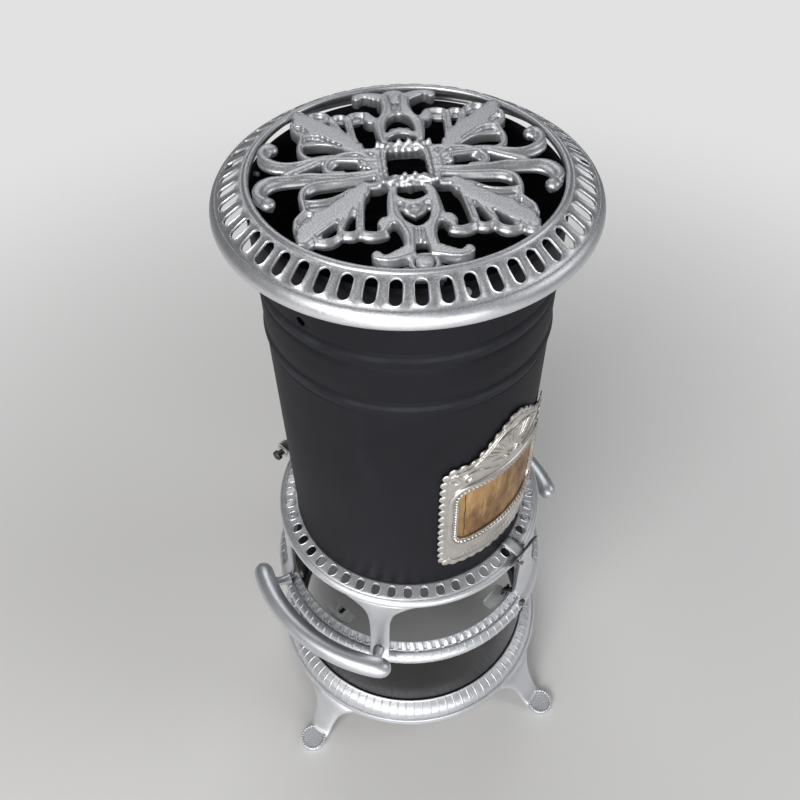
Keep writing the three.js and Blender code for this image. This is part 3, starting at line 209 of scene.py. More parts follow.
def black_sheet():
    b = Board("satin_black_sheet")
    broad = b.noise(9, 4)
    haze = b.noise(30, 5, 0.6, (1, 1, 0.35))
    fine = b.noise(1200, 2)
    rubbed = b.noise(70, 4, 0.6, (1, 1, 2.2))
    z = b.height()
    low = b.step(z, 0.30, 0.58)
    tone = b.blend(b.step(broad, 0.3, 0.7), (0.0075, 0.0075, 0.0105), (0.012, 0.012, 0.016))
    tone = b.blend(b.step(haze, 0.52, 0.75, 0.0, 0.5), tone, (0.018, 0.018, 0.023))
    tone = b.blend(b.step(rubbed, 0.70, 0.80, 0.0, 0.30) * low, tone, (0.050, 0.051, 0.057))
    # Painted highlight: a pale bluish band just above the crest of each swaged rib, broken up by the haze
    # noise, standing in for the light that runs along the ribs.
    lower, upper = (b.within(z, (rib + 1.0) * MM, (rib + 2.4) * MM, 0.0019) for rib in RIB_HEIGHTS)
    tone = b.blend((lower + upper) * b.step(haze, 0.35, 0.62, 0.25, 1.0), tone, (0.027, 0.031, 0.039))
    rough = 0.44 + 0.14 * haze + 0.06 * broad
    skin = b.bump(fine, 0.10, 0.0002)
    skin = b.bump(b.noise(16, 2), 0.12, 0.0012, skin)
    return b.done(Base_Color=tone, Roughness=rough, Specular_IOR_Level=0.17, Normal=skin)


def gloss_sheet():
    b = Board("gloss_black_sleeve")
    broad = b.noise(12, 4)
    smear = b.noise(40, 5, 0.6, (1, 1, 0.3))
    tone = b.blend(b.step(broad, 0.3, 0.7), (0.006, 0.0055, 0.0055), (0.012, 0.0105, 0.010))
    rough = 0.14 + 0.16 * smear
    skin = b.bump(b.noise(22, 2), 0.18, 0.0010)
    return b.done(Base_Color=tone, Roughness=rough, Specular_IOR_Level=0.12, Normal=skin)


def nickel():
    b = Board("bright_nickel_plate")
    broad = b.noise(40, 4)
    fine = b.noise(600, 3)
    tint = b.blend(b.step(broad, 0.35, 0.7), (0.74, 0.715, 0.68), (0.60, 0.565, 0.52))
    rough = 0.25 + 0.14 * broad + 0.05 * fine
    skin = b.bump(b.noise(90, 3), 0.18, 0.0006)
    skin = b.bump(fine, 0.08, 0.0001, skin)
    return b.done(Base_Color=tint, Metallic=1.0, Roughness=rough, Normal=skin)


def mica():
    b = Board("smoked_mica")
    cloud = b.noise(34, 5, 0.62, (1, 1, 0.55))
    streak = b.noise(150, 5, 0.65, (1.0, 1.0, 0.20))
    stain = b.noise(52, 4, 0.65)
    flake = b.noise(210, 3, 0.7, (1, 1, 0.5))
    tone = b.blend(b.step(cloud, 0.34, 0.64), (0.43, 0.25, 0.095), (0.17, 0.082, 0.03))
    tone = b.blend(b.step(streak, 0.50, 0.72, 0.0, 0.55), tone, (0.66, 0.45, 0.22))
    tone = b.blend(b.step(stain, 0.60, 0.72, 0.0, 0.75), tone, (0.055, 0.032, 0.017))
    tone = b.blend(b.step(flake, 0.62, 0.75, 0.0, 0.5), tone, (0.62, 0.47, 0.29))
    rough = 0.30 + 0.30 * cloud
    skin = b.bump(cloud, 0.5, 0.0012)
    skin = b.bump(flake, 0.25, 0.0003, skin)
    return b.done(Base_Color=tone, Roughness=rough, Alpha=0.93, Specular_IOR_Level=0.35, Normal=skin)


def bracket_steel():
    b = Board("dull_grey_steel")
    broad = b.noise(60, 4)
    brushed = b.noise(500, 3, 0.6, (1, 1, 0.15))
    tint = b.blend(b.step(broad, 0.3, 0.7), (0.50, 0.51, 0.515), (0.66, 0.67, 0.675))
    rough = 0.38 + 0.18 * broad
    skin = b.bump(brushed, 0.14, 0.0002)
    return b.done(Base_Color=tint, Metallic=0.45, Roughness=rough, Normal=skin)


def slate_steel():
    b = Board("slate_grey_steel")
    broad = b.noise(70, 4)
    brushed = b.noise(420, 3, 0.6, (1, 1, 0.2))
    tint = b.blend(b.step(broad, 0.3, 0.7), (0.075, 0.08, 0.088), (0.15, 0.156, 0.165))
    skin = b.bump(brushed, 0.14, 0.0002)
    return b.done(Base_Color=tint, Metallic=0.6, Roughness=0.34 + 0.2 * broad, Normal=skin)


def blued_steel():
    b = Board("blackened_steel")
    broad = b.noise(90, 4)
    fine = b.noise(800, 3)
    tint = b.blend(b.step(broad, 0.4, 0.7), (0.045, 0.046, 0.05), (0.12, 0.12, 0.125))
    rough = 0.34 + 0.22 * broad
    return b.done(Base_Color=tint, Metallic=0.8, Roughness=rough, Normal=b.bump(fine, 0.15, 0.0002))


FINISHES = {
    "casting": (aluminium_paint("aluminium_painted_openwork", 0.8), "silver_casting"),
    "smooth": (aluminium_paint("aluminium_painted_base", 0.3), "silver_casting"),
    "handle": (handle_paint(), "silver_casting"),
    "sheet": (black_sheet(), "black_sheet"),
    "sleeve": (gloss_sheet(), "black_sheet"),
    "nickel": (nickel(), "nickel"),
    "mica": (mica(), "mica"),
    "grey": (bracket_steel(), "grey_steel"),
    "slate": (slate_steel(), "grey_steel"),
    "black": (blued_steel(), "black_steel"),
}


# ------------------------------------------------------------------ shaping
def spot(radius, azimuth, height):
    a = math.radians(azimuth)
    return Vector((radius * math.sin(a), -radius * math.cos(a), height)) * MM


def facing(radius, azimuth, height):
    """Frame on a round wall in metres: x along the wall, y up, z outwards."""
    a = math.radians(azimuth)
    out = Vector((math.sin(a), -math.cos(a), 0))
    side = Vector((math.cos(a), math.sin(a), 0))
    placed = Matrix((side, Vector((0, 0, 1)), out)).transposed().to_4x4()
    placed.translation = spot(radius, azimuth, height)
    return placed


def smoothed(points, steps):
    """Even curve through points of any number of measures."""
    made = []
    for i in range(len(points) - 1):
        before, start = points[max(i - 1, 0)], points[i]
        end, after = points[i + 1], points[min(i + 2, len(points) - 1)]
        for k in range(steps):
            t = k / steps
            made.append(tuple(
                0.5 * (2 * s + (e - b) * t + (2 * b - 5 * s + 4 * e - a) * t * t
                       + (3 * s - b - 3 * e + a) * t ** 3)
                for b, s, e, a in zip(before, start, end, after)))
    return made + [tuple(points[-1])]


def closed_curve(points, steps):
    """The same round a closed line of points."""
    around = points[-2:] + points + points[:2]
    return smoothed(around, steps)[2 * steps:(2 + len(points)) * steps]


def grow(shape, edges, move):
    """Extrudes a run of edges and moves each new point."""
    made = bmesh.ops.extrude_edge_only(shape, edges=edges)["geom"]
    points = [g for g in made if isinstance(g, bmesh.types.BMVert)]
    fresh = set(points)
    for point in points:
        move(point)
    return list({e for p in points for e in p.link_edges if e.other_vert(p) in fresh})


def chain(shape, places, closed=False):
    points = [shape.verts.new(place) for place in places]
    ends = points[1:] + points[:1] if closed else points[1:]
    return [shape.edges.new(pair) for pair in zip(points, ends)]


def tidied(shape, reach=2e-6):
    """Merges the points of a closed shape that meet, and turns its faces outwards."""
    bmesh.ops.remove_doubles(shape, verts=shape.verts[:], dist=reach)
    bmesh.ops.recalc_face_normals(shape, faces=shape.faces[:])
    if shape.calc_volume(signed=True) < 0:
        bmesh.ops.reverse_faces(shape, faces=shape.faces[:])
    return shape


def towards(shape, direction):
    """Turns an open sheet so that its faces look the way that direction gives at each place."""
    bmesh.ops.recalc_face_normals(shape, faces=shape.faces[:])
    total = sum(f.normal.dot(direction(f.calc_center_median())) * f.calc_area() for f in shape.faces)
    if total < 0:
        bmesh.ops.reverse_faces(shape, faces=shape.faces[:])
    return shape


def outwards(place):
    return Vector((place.x, place.y, 0)).normalized()


def up_and_out(place):
    return outwards(place) + Vector((0, 0, 1))


def revolve(shape, edges, steps):
    """Turns a line of edges all the way round the axis."""
    bmesh.ops.spin(shape, geom=shape.verts[:] + edges, cent=(0, 0, 0), axis=(0, 0, 1),
                   angle=math.tau, steps=steps, use_merge=True)


def spun(profile):
    """Closed (radius, height) outline turned about the axis."""
    shape = bmesh.new()
    edges = chain(shape, [spot(r, 0, z) for r, z in profile], closed=True)
    revolve(shape, edges, 180)
    return tidied(shape)


def pour(source, shape):
    """Adds one shape to another."""
    held = bpy.data.meshes.new("held")
    source.to_mesh(held)
    source.free()
    shape.from_mesh(held)
    bpy.data.meshes.remove(held)
    return shape


def thicken(shape, move):
    """Gives a flat sheet a thickness along a vector."""
    thick = bmesh.ops.extrude_face_region(shape, geom=shape.faces[:])["geom"]
    bmesh.ops.translate(shape, vec=move, verts=[g for g in thick if isinstance(g, bmesh.types.BMVert)])


def cut_plate(outline, move):
    """Plate with a closed flat outline of places, thickened along a vector."""
    shape = bmesh.new()
    bmesh.ops.edgeloop_fill(shape, edges=chain(shape, outline, closed=True))
    thicken(shape, move)
    return shape


def ease(shape, edges, offset):
    """Rounds edges off by millimetres."""
    bmesh.ops.bevel(shape, geom=edges, offset=offset * MM, offset_type="OFFSET", segments=2,
                    profile=0.5, affect="EDGES", material=-1)


def profile_place(profile, along, lift=0.0):
    """Radius and height at a share of a profile counted in its points, lifted off its face."""
    i = max(0, min(int(along), len(profile) - 2))
    (r0, z0), (r1, z1) = profile[i], profile[i + 1]
    length = math.hypot(r1 - r0, z1 - z0)
    t = along - i
    return (r0 + (r1 - r0) * t + (z1 - z0) / length * lift,
            z0 + (z1 - z0) * t - (r1 - r0) / length * lift)


def turned_copies(shape, count):
    bmesh.ops.spin(shape, geom=shape.verts[:] + shape.edges[:] + shape.faces[:], cent=(0, 0, 0),
                   axis=(0, 0, 1), angle=math.tau * (count - 1) / count, steps=count - 1,
                   use_duplicate=True)
    bmesh.ops.remove_doubles(shape, verts=shape.verts[:], dist=4e-6)
    return shape


def slotted_ring(profile, band, count, start, slot_width, slot_length, shift, rim):
    """Round sheet along a profile from its outer foot inwards, with oval slots with raised rims
    through the straight band after profile point `band`. rim: (offset, lift) rows from the slot."""
    shape = bmesh.new()
    pitch = 360 / count
    turn = shape.verts.layers.float.new("turn")
    across = shape.verts.layers.float.new("across")
    along = shape.verts.layers.float.new("along")
    (r0, z0), (r1, z1) = profile[band], profile[band + 1]
    band_length = math.hypot(r1 - r0, z1 - z0)

    def place(point, azimuth, y, lift=0.0):
        r, z = profile_place(profile, y, lift)
        point.co = spot(r, start + azimuth, z)

    def on_rim(offset, lift):
        def move(point):
            angle = point[turn]
            half = slot_width / 2 + offset
            lean = math.sin(angle)
            rise = half * lean
            if abs(lean) > 0.01:
                rise += math.copysign((slot_length - slot_width) / 2, lean)
            y = band + 0.5 + (shift + rise) / band_length
            r, _ = profile_place(profile, y)
            place(point, math.degrees(half * math.cos(angle) / r), y, lift)
        return move

    circle = bmesh.ops.create_circle(shape, segments=24, radius=1)["verts"]
    for point in circle:
        point[turn] = math.atan2(point.co.y, point.co.x)
    edges = shape.edges[:]
    for point in circle:
        on_rim(*rim[0])(point)
    for offset, lift in rim[1:]:
        edges = grow(shape, edges, on_rim(offset, lift))

    def square(point):
        eighth = point[turn] / (math.pi / 4)
        if abs(eighth) <= 1:
            u, v = 1, eighth
        elif 1 < eighth <= 3:
            u, v = 2 - eighth, 1
        elif -3 <= eighth < -1:
            u, v = 2 + eighth, -1
        else:
            u, v = -1, (4 - eighth if eighth > 0 else -4 - eighth)
        point[across], point[along] = u, v
        place(point, u * pitch / 2, band + (v + 1) / 2)

    edges = grow(shape, edges, square)
    for side, rows in ((1, range(band + 2, len(profile))), (-1, range(band - 1, -1, -1))):
        row = [e for e in edges if all(abs(p[along] - side) < 1e-3 for p in e.verts)]
        for y in rows:
            row = grow(shape, row, lambda point, y=y: place(point, point[across] * pitch / 2, y))
    return towards(turned_copies(shape, count), up_and_out)


def relief_ring(profile, columns, count, start):
    """Round sheet along a profile of (radius, height, share of the relief) points; columns are
    (share of the pitch, lift) across one cell."""
    shape = bmesh.new()
    pitch = 360 / count
    index = shape.verts.layers.int.new("index")
    line = [(r, z) for r, z, _ in profile]

    def put(point, share, lift):
        """The lift is the mean of the lifts off the two stretches that meet at the point."""
        i = point[index]
        r, z = line[i]
        for along in (max(i - 0.5, 0), min(i + 0.5, len(line) - 1.001)):
            level = profile_place(line, along)
            lifted = profile_place(line, along, lift * profile[i][2])
            r += (lifted[0] - level[0]) / 2
            z += (lifted[1] - level[1]) / 2
        point.co = spot(r, start + share * pitch, z)

    edges = chain(shape, [(0, 0, 0)] * len(profile))
    shape.verts.ensure_lookup_table()
    for i, point in enumerate(shape.verts):
        point[index] = i
        put(point, *columns[0])
    for share, lift in columns[1:] + [(1.0, columns[0][1])]:
        edges = grow(shape, edges, lambda point, s=share, d=lift: put(point, s, d))
    return towards(turned_copies(shape, count), up_and_out)


FLAT_SECTION = [(-1, -1), (-1, 0.45), (-0.82, 0.82), (-0.45, 0.97), (0, 1), (0.45, 0.97),
                (0.82, 0.82), (1, 0.45), (1, -1)]
ROUND_TOP = [(-1, -1)] + [(-math.cos(k * math.pi / 8), -0.4 + 1.4 * math.sin(k * math.pi / 8))
                          for k in range(9)] + [(1, -1)]
ROUND_SECTION = [(math.cos(k * math.tau / 20), math.sin(k * math.tau / 20)) for k in range(20)]


def swept(shape, frames, section, closed=False):
    """Carries a closed section along a run of frames."""
    own = bmesh.new()
    edges = first = chain(own, [frames[0] @ Vector((x, 0, z)) for x, z in section], closed=True)
    for last, this in zip(frames, frames[1:]):
        carry = this @ last.inverted()

        def move(point, carry=carry):
            point.co = carry @ point.co

        edges = grow(own, edges, move)
    if closed:
        bmesh.ops.bridge_loops(own, edges=edges + first)
    else:
        bmesh.ops.edgeloop_fill(own, edges=first)
        bmesh.ops.edgeloop_fill(own, edges=edges)
    tidied(own, 1e-7)
    return pour(own, shape)


def section_frame(at, side, along, low, high):
    """Frame in metres that carries a section: x reaches to `side`, and z from low to high."""
    grid = Matrix((side, along, Vector((0, 0, (high - low) / 2)))).transposed().to_4x4()
    grid.translation = at + Vector((0, 0, (high + low) / 2))
    return Matrix.Scale(MM, 4) @ grid


def direction_at(points, i, closed):
    """Level direction of a line at one of its points, and the direction to its right."""
    before = points[i - 1] if closed else points[max(i - 1, 0)]
    after = points[(i + 1) % len(points)] if closed else points[min(i + 1, len(points) - 1)]
    along = Vector((after[0] - before[0], after[1] - before[1], 0)).normalized()
    return along, Vector((along.y, -along.x, 0))


def plan_frames(points, bottom, top, closed):
    """Frames along a curve seen from above: (x, y, half width[, bottom, top]) points. An open
    curve gets rounded ends."""
    stations = []
    for i, point in enumerate(points):
        along, side = direction_at(points, i, closed)
        low, high = point[3:] if len(point) > 3 else (bottom, top)
        stations.append((Vector((point[0], point[1], 0)), side, along, point[2], low, high))

    def cap(station, sign):
        at, side, along, half, low, high = station
        reach = min(half, 4)
        return [(at + along * sign * reach * s, side, along, half * c, low,
                 low + (high - low) * (0.4 + 0.6 * c))
                for s, c in ((0.5, 0.87), (0.85, 0.53), (0.99, 0.2))]

    if not closed:
        stations = cap(stations[0], -1)[::-1] + stations + cap(stations[-1], 1)
    return [section_frame(at, side * max(half, 0.05), along, low, high)
            for at, side, along, half, low, high in stations]


def bar(shape, points, bottom, top, section=None, steps=4, closed=False):
    line = closed_curve(points, steps) if closed else smoothed(points, steps)
    return swept(shape, plan_frames(line, bottom, top, closed), section or FLAT_SECTION, closed)


def bead(shape, place, radius, squash=(1, 1, 1), placed=Matrix.Identity(4), detail=2):
    """Round bead at a place in millimetres of a frame, squashed along that frame's axes."""
    bmesh.ops.create_icosphere(
        shape, subdivisions=detail, radius=radius * MM,
        matrix=placed @ Matrix.Translation(Vector(place) * MM) @ Matrix.Diagonal((*squash, 1)))


def block(shape, place, size, placed, round_off):
    own = bmesh.new()
    spread = Matrix.Translation(Vector(place) * MM) @ Matrix.Diagonal((*[s * MM for s in size], 1))
    bmesh.ops.create_cube(own, size=1, matrix=spread)
    ease(own, own.edges[:], round_off)
    bmesh.ops.transform(own, matrix=placed, verts=own.verts[:])
    tidied(own, 1e-7)
    return pour(own, shape)


def lathed(shape, outline, placed, segments, closed=False):
    """(radius, height) outline, from its centre to its edge or closed, turned about z of a
    frame."""
    own = bmesh.new()
    edges = chain(own, [Vector((r, 0, h)) * MM for r, h in outline], closed)
    revolve(own, edges, segments)
    tidied(own, 1e-6)
    bmesh.ops.transform(own, matrix=placed, verts=own.verts[:])
    return pour(own, shape)


def slotted_head(shape, placed, radius, height, slot_turn, shank_radius, shank_length):
    """Domed screw head on a frame whose z looks out, with a cut driver slot."""
    own = bmesh.new()
    lathed(own, [(0, -0.4), (radius, -0.4), (radius, height * 0.35), (radius * 0.93, height * 0.66),
                 (radius * 0.74, height * 0.86), (radius * 0.4, height), (0, height)],
           Matrix.Identity(4), 28)
    half_slot = radius * 0.13 * MM
    for sign in (-1, 1):
        bmesh.ops.bisect_plane(own, geom=own.verts[:] + own.edges[:] + own.faces[:],
                               plane_co=(sign * half_slot, 0, 0), plane_no=(1, 0, 0))
    trench = [f for f in own.faces if f.normal.z > 0.3 and abs(f.calc_center_median().x) < half_slot]
    deep = bmesh.ops.extrude_face_region(own, geom=trench)["geom"]
    floor = [g for g in deep if isinstance(g, bmesh.types.BMVert)]
    bmesh.ops.delete(own, geom=trench, context="FACES")
    for point in floor:
        point.co.z = height * 0.535 * MM
    lathed(own, [(0, -shank_length), (shank_radius, -shank_length), (shank_radius, 0), (0, 0)],
           Matrix.Identity(4), 16)
    bmesh.ops.transform(own, matrix=placed @ Matrix.Rotation(math.radians(slot_turn), 4, "Z"),
                        verts=own.verts[:])
    bmesh.ops.recalc_face_normals(own, faces=own.faces[:])
    return pour(own, shape)


def finished(name, shape, body, finish, stands_for, angle, wall=0.0):
    """Hands a shape in as a piece that rides a body and takes the place of CAD nodes. Edges
    sharper than an angle stay crisp, and a sheet gets its wall inwards."""
    mesh = bpy.data.meshes.new(name)
    shape.to_mesh(mesh)
    shape.free()
    mesh.shade_smooth()
    mesh.set_sharp_from_angle(angle=math.radians(angle))
    piece = bpy.data.objects.new(name, mesh)
    bpy.context.scene.collection.objects.link(piece)
    material, slot = FINISHES[finish]
    mesh.materials.append(material)
    if wall:
        sheet = piece.modifiers.new("wall", "SOLIDIFY")
        sheet.thickness = wall * MM
        sheet.offset = -1
        sheet.use_even_offset = False
    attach(piece, body)
    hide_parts(*stands_for)
    return piece


def settled(piece):
    """Keeps what a piece's modifiers make as its own mesh."""
    bpy.context.view_layer.update()
    graph = bpy.context.evaluated_depsgraph_get()
    made = bpy.data.meshes.new_from_object(piece.evaluated_get(graph))
    piece.modifiers.clear()
    old, piece.data = piece.data, made
    bpy.data.meshes.remove(old)
    made.name = piece.name
    return piece


def fused(piece, grain, passes, factor):
    """Runs overlapping shapes together into one casting, with small fillets."""
    cast = piece.modifiers.new("cast", "REMESH")
    cast.mode = "VOXEL"
    cast.voxel_size = grain * MM
    cast.use_smooth_shade = True
    dressed = piece.modifiers.new("dressed", "SMOOTH")
    dressed.factor = factor
    dressed.iterations = passes
    return settled(piece)


# ------------------------------------------------------------------ top ring
def make_top_ring():
    profile = [(125.9, 592.9), (127.3, 594.2), (127.6, 596.2), (127.4, 598.3), (126.7, 600.4),
               (125.5, 602.4), (124.1, 603.9), (123.4, 604.3), (123.0, 604.0), (122.5, 604.2),
               (121.9, 605.0), (105.6, 615.2), (105.0, 615.2), (104.6, 614.9), (104.3, 615.5),
               (103.4, 616.5), (102.0, 616.9), (100.9, 616.6), (100.2, 615.6), (100.1, 612.4)]
    rim = [(0, -1.3), (0.02, 0.05), (0.2, 0.5), (0.5, 0.62), (0.8, 0.4), (1.15, 0.0)]
    shape = slotted_ring(profile, band=profile.index((121.9, 605.0)), count=RING_SLOTS, start=5.8,
                         slot_width=7.7, slot_length=15.4, shift=0.1, rim=rim)
    return finished("top_ring_casting", shape, "drum", "casting", ("top_ring",), 50, wall=1.3)


def make_ring_lug(name, azimuth):
    """Ledge inside the ring, under a boss of the trivet."""
    shape = bmesh.new()
    placed = facing(93, azimuth, 606.9)
    block(shape, (0, 0, 0), (24, 5.4, 15), placed, 1.2)
    for side in (-1, 1):
        block(shape, (side * 9, -3.4, 2.5), (2.6, 6, 9), placed, 0.6)
    return finished(name, shape, "drum", "casting", (), 40)


# ------------------------------------------------------------------ drum and sleeve
def drum_rows():
    """(height, lift) rows up the sheet: a curled foot, two swaged ribs and plain stretches with
    rows close together round the spare holes."""
    rib = [(-7.2, 0), (-6.6, -0.35), (-6, 0), (-4.4, 0.05), (-3, 0.55), (-1.4, 1.1), (0, 1.3)]
    rib += [(-rise, lift) for rise, lift in reversed(rib[:-1])]
    rows = [(DRUM_BOTTOM, 0), (DRUM_BOTTOM + 0.7, 0.35), (276, 0)]
    rows += [(276 + 10.3 * k, 0) for k in range(1, 22)]
    rows += [(middle + rise, lift) for middle in RIB_HEIGHTS for rise, lift in rib]
    rows += [(z, 0) for z in (520.5, 532, 556, SPARE_HOLE_HEIGHT, 561, 564.5, 575, 586, 596, DRUM_TOP)]
    kept = []
    for row in sorted(rows):
        if not kept or row[0] - kept[-1][0] > 0.3:
            kept.append(row)
    return kept


def open_spare_hole(shape, azimuth):
    """Draws the points round the nearest one out to a circle, and takes that one away."""
    middle = spot(DRUM_RADIUS, azimuth, SPARE_HOLE_HEIGHT)
    nearest = min(shape.verts, key=lambda p: (p.co - middle).length)
    for point in {p for face in nearest.link_faces for p in face.verts if p != nearest}:
        a = math.degrees(math.atan2(point.co.x, -point.co.y)) - azimuth
        across = math.radians((a + 180) % 360 - 180) * DRUM_RADIUS
        rise = point.co.z / MM - SPARE_HOLE_HEIGHT
        reach = SPARE_HOLE_RADIUS / math.hypot(across, rise)
        point.co = spot(DRUM_RADIUS, azimuth + math.degrees(across * reach / DRUM_RADIUS),
                        SPARE_HOLE_HEIGHT + rise * reach)
    bmesh.ops.delete(shape, geom=[nearest], context="VERTS")


def make_drum():
    shape = bmesh.new()
    edges = chain(shape, [spot(DRUM_RADIUS + lift, 0, z) for z, lift in drum_rows()])
    bmesh.ops.transform(shape, matrix=Matrix.Rotation(math.radians(SPARE_HOLE_AZIMUTH), 4, "Z"),
                        verts=shape.verts[:])
    revolve(shape, edges, 144)
    bmesh.ops.remove_doubles(shape, verts=shape.verts[:], dist=4e-6)
    for azimuth in (SPARE_HOLE_AZIMUTH, SPARE_HOLE_AZIMUTH + 180):
        open_spare_hole(shape, azimuth)
    towards(shape, outwards)
    return finished("drum_sheet", shape, "drum", "sheet", ("drum_shell",), 60, wall=1.0)


def make_sleeve():
    outer, inner = SLEEVE_RADIUS, SLEEVE_RADIUS - 1.0
    profile = [(outer, z) for z in (SLEEVE_BOTTOM, 63, 100, 140, 168, SLEEVE_TOP)]
    profile += [(inner, z) for z in (SLEEVE_TOP, 168, 100, SLEEVE_BOTTOM)]
    return finished("sleeve_sheet", spun(profile), "base", "sleeve", ("lower_sleeve",), 40)


# ------------------------------------------------------------------ gallery
def make_slotted_ring():
    profile = [(118.6, 258.7), (120.6, 258.6), (122.2, 259.4), (123.0, 261.0), (122.9, 262.8),
               (122.0, 264.6), (120.7, 265.9), (119.4, 266.5), (118.9, 266.2), (118.4, 266.5),
               (118.0, 267.0), (106.9, 270.1), (106.3, 270.3), (105.75, 270.2), (105.62, 268.0)]
    rim = [(0, -1.2), (0.02, 0.05), (0.18, 0.45), (0.42, 0.55), (0.66, 0.35), (0.85, 0.0)]
    shape = slotted_ring(profile, band=profile.index((118.0, 267.0)), count=RING_SLOTS, start=1.1,
                         slot_width=7.6, slot_length=9.7, shift=0.0, rim=rim)
    return finished("gallery_top_rail", shape, "base", "smooth", ("gallery_casting",), 50, wall=1.2)


def make_rail_skirt():
    """Inner seat that the drum stands on."""
    profile = [(105.4, 269.8), (105.4, 268.6), (107.0, 267.4), (106.8, 264.6), (99.8, 264.9),
               (99.8, 269.8)]
    return finished("drum_seat", spun(profile), "base", "casting", ("gallery_casting",), 40)


def make_foot_ring():
    """Lower ring: a band with thin raised lines, and a row of small pockets between ribs above."""
    band = [(132.6, 169.9, 0), (133.2, 171.2, 0.6), (133.7, 173.2, 1), (133.2, 175.4, 1),
            (131.9, 177.4, 1), (130.0, 179.2, 1), (128.2, 180.3, 1), (127.2, 180.6, 0.2),
            (126.5, 179.5, 0), (125.9, 179.5, 0)]
    lines = [(0.0, 0.5), (0.06, 0.42), (0.11, 0.0), (0.15, 0.0), (0.5, 0.08), (0.85, 0.0),
             (0.89, 0.0), (0.94, 0.42)]
    slope = [(125.9, 179.5, 0), (125.7, 181.2, 0), (125.5, 182.0, 0.15), (125.1, 182.7, 1),
             (123.6, 183.9, 1), (121.6, 185.4, 1), (120.8, 186.0, 0.3), (119.9, 186.7, 0),
             (119.0, 186.9, 0), (118.3, 186.2, 0), (118.2, 175.4, 0)]
    pockets = [(0.0, 0.7), (0.09, 0.7), (0.15, 0.4), (0.19, -1.5), (0.23, -1.9), (0.50, -1.9),
               (0.54, -1.5), (0.60, -0.1), (0.66, 0.1), (0.80, 0.1), (0.86, 0.2), (0.93, 0.6)]
    shape = relief_ring(band, lines, RELIEF_COUNT, 1.0)
    pour(relief_ring(slope, pockets, RELIEF_COUNT, 1.0), shape)
    bmesh.ops.remove_doubles(shape, verts=shape.verts[:], dist=4e-6)
    towards(shape, up_and_out)
    return finished("gallery_foot_ring", shape, "base", "smooth", ("gallery_casting",), 32, wall=1.6)


def make_foot_ledge():
    """Inner lip of the lower ring, over the sleeve."""
    profile = [(124.2, 175.2), (124.2, 178.6), (118.4, 182), (118.0, 175.2)]
    return finished("sleeve_lip", spun(profile), "base", "casting", ("gallery_casting",), 40)


def make_post(name, azimuth, half_width, arch):
    """Upright with a foot over the lower ring and a flared, filleted head under the rail; arch
    is the head's half width."""
    flare = arch - half_width
    # height, radius of the face, half width
    rows = [
        (169.9, 133.9, half_width + 1.0), (171.5, 134.6, half_width + 0.9),
        (174.4, 134.6, half_width + 0.6), (177.6, 133.0, half_width + 0.3),
        (180.9, 130.0, half_width + 0.2), (184.0, 127.8, half_width),
        (190, 126.0, half_width - 0.2), (200, 124.9, half_width - 0.3),
        (215, 124.0, half_width - 0.1), (226, 123.6, half_width + 0.4),
        (235, 123.3, half_width + 1.6), (242, 123.1, half_width + 3.8),
        (247, 123.0, half_width + flare * 0.48), (251, 123.0, half_width + flare * 0.76),
        (254.5, 123.0, arch * 1.02), (258, 123.1, arch * 1.28), (261.5, 122.8, arch * 1.3)]
    shape = bmesh.new()
    columns = [-1, -0.94, -0.8, -0.5, -0.2, 0.2, 0.5, 0.8, 0.94, 1]
    row_of = shape.verts.layers.int.new("row")

    def put(point, share):
        z, r, half = rows[point[row_of]]
        edge_drop = 1.3 * abs(share) ** 6
        point.co = spot(r - edge_drop, azimuth + math.degrees(share * half / r), z)

    edges = chain(shape, [(0, 0, k) for k in range(len(rows))])
    shape.verts.ensure_lookup_table()
    for k, point in enumerate(shape.verts):
        point[row_of] = k
        put(point, columns[0])
    for share in columns[1:]:
        edges = grow(shape, edges, lambda point, s=share: put(point, s))
    towards(shape, outwards)
    return finished(name, shape, "base", "smooth", ("gallery_casting",), 60, wall=4.6)


def make_lug(name, azimuth):
    """Ear below the lower ring with the screw that holds the sleeve."""
    outline = [(-10, 3), (-10, -16), (-8.6, -22), (-5, -26.4), (0, -28), (5, -26.4), (8.6, -22),
               (10, -16), (10, 3)]
    shape = cut_plate([Vector((x, y, -1.0)) * MM for x, y in outline], (0, 0, 4 * MM))
    ease(shape, [e for e in shape.edges if all(p.co.z > 0 for p in e.verts)], 0.9)
    bmesh.ops.transform(shape, matrix=facing(126.0, azimuth, 170), verts=shape.verts[:])
    tidied(shape, 1e-7)
    return finished(name, shape, "base", "smooth", ("gallery_casting",), 40)


# ------------------------------------------------------------------ base
def make_base_band():
    """Ribbed convex band between the skirt's bead and the seat of the sleeve."""
    profile = [(140.2, 40.5, 0), (142.6, 40.5, 0), (143.0, 41.6, 0), (142.7, 43.4, 0),
               (141.9, 44.4, 0), (141.8, 45.2, 0), (141.9, 46.1, 0), (141.2, 47.1, 0),
               (140.3, 47.3, 0), (139.6, 46.9, 0), (139.3, 47.4, 0), (139.1, 48.4, 0.7),
               (138.4, 51.2, 1), (137.0, 54.1, 1), (135.1, 56.6, 1), (132.8, 58.5, 1),
               (130.2, 59.9, 1), (127.9, 60.9, 0.7), (126.9, 61.5, 0.1), (126.3, 62.2, 0),
               (125.5, 62.3, 0), (125.0, 61.4, 0), (124.9, 58, 0)]
    ribs = [(0.0, 0.5), (0.05, 0.42), (0.10, 0.0), (0.14, 0.0), (0.5, 0.06), (0.86, 0.0), (0.90, 0.0),
            (0.95, 0.42)]
    shape = relief_ring(profile, ribs, RELIEF_COUNT, 0.9)
    return finished("base_ribbed_band", shape, "base", "smooth", ("base_casting",), 36, wall=2.0)


def make_base_floor():
    """Inner flange that the sleeve stands on."""
    profile = [(118.7, 46.6), (118.7, 49.9), (124.6, 49.9), (125.4, 55), (133.5, 53.8), (137.6, 46),
               (138.4, 43), (136, 45), (131, 52), (127.6, 51.6), (127.3, 46.6)]
    return finished("base_seat", spun(profile), "base", "casting", ("base_casting",), 40)


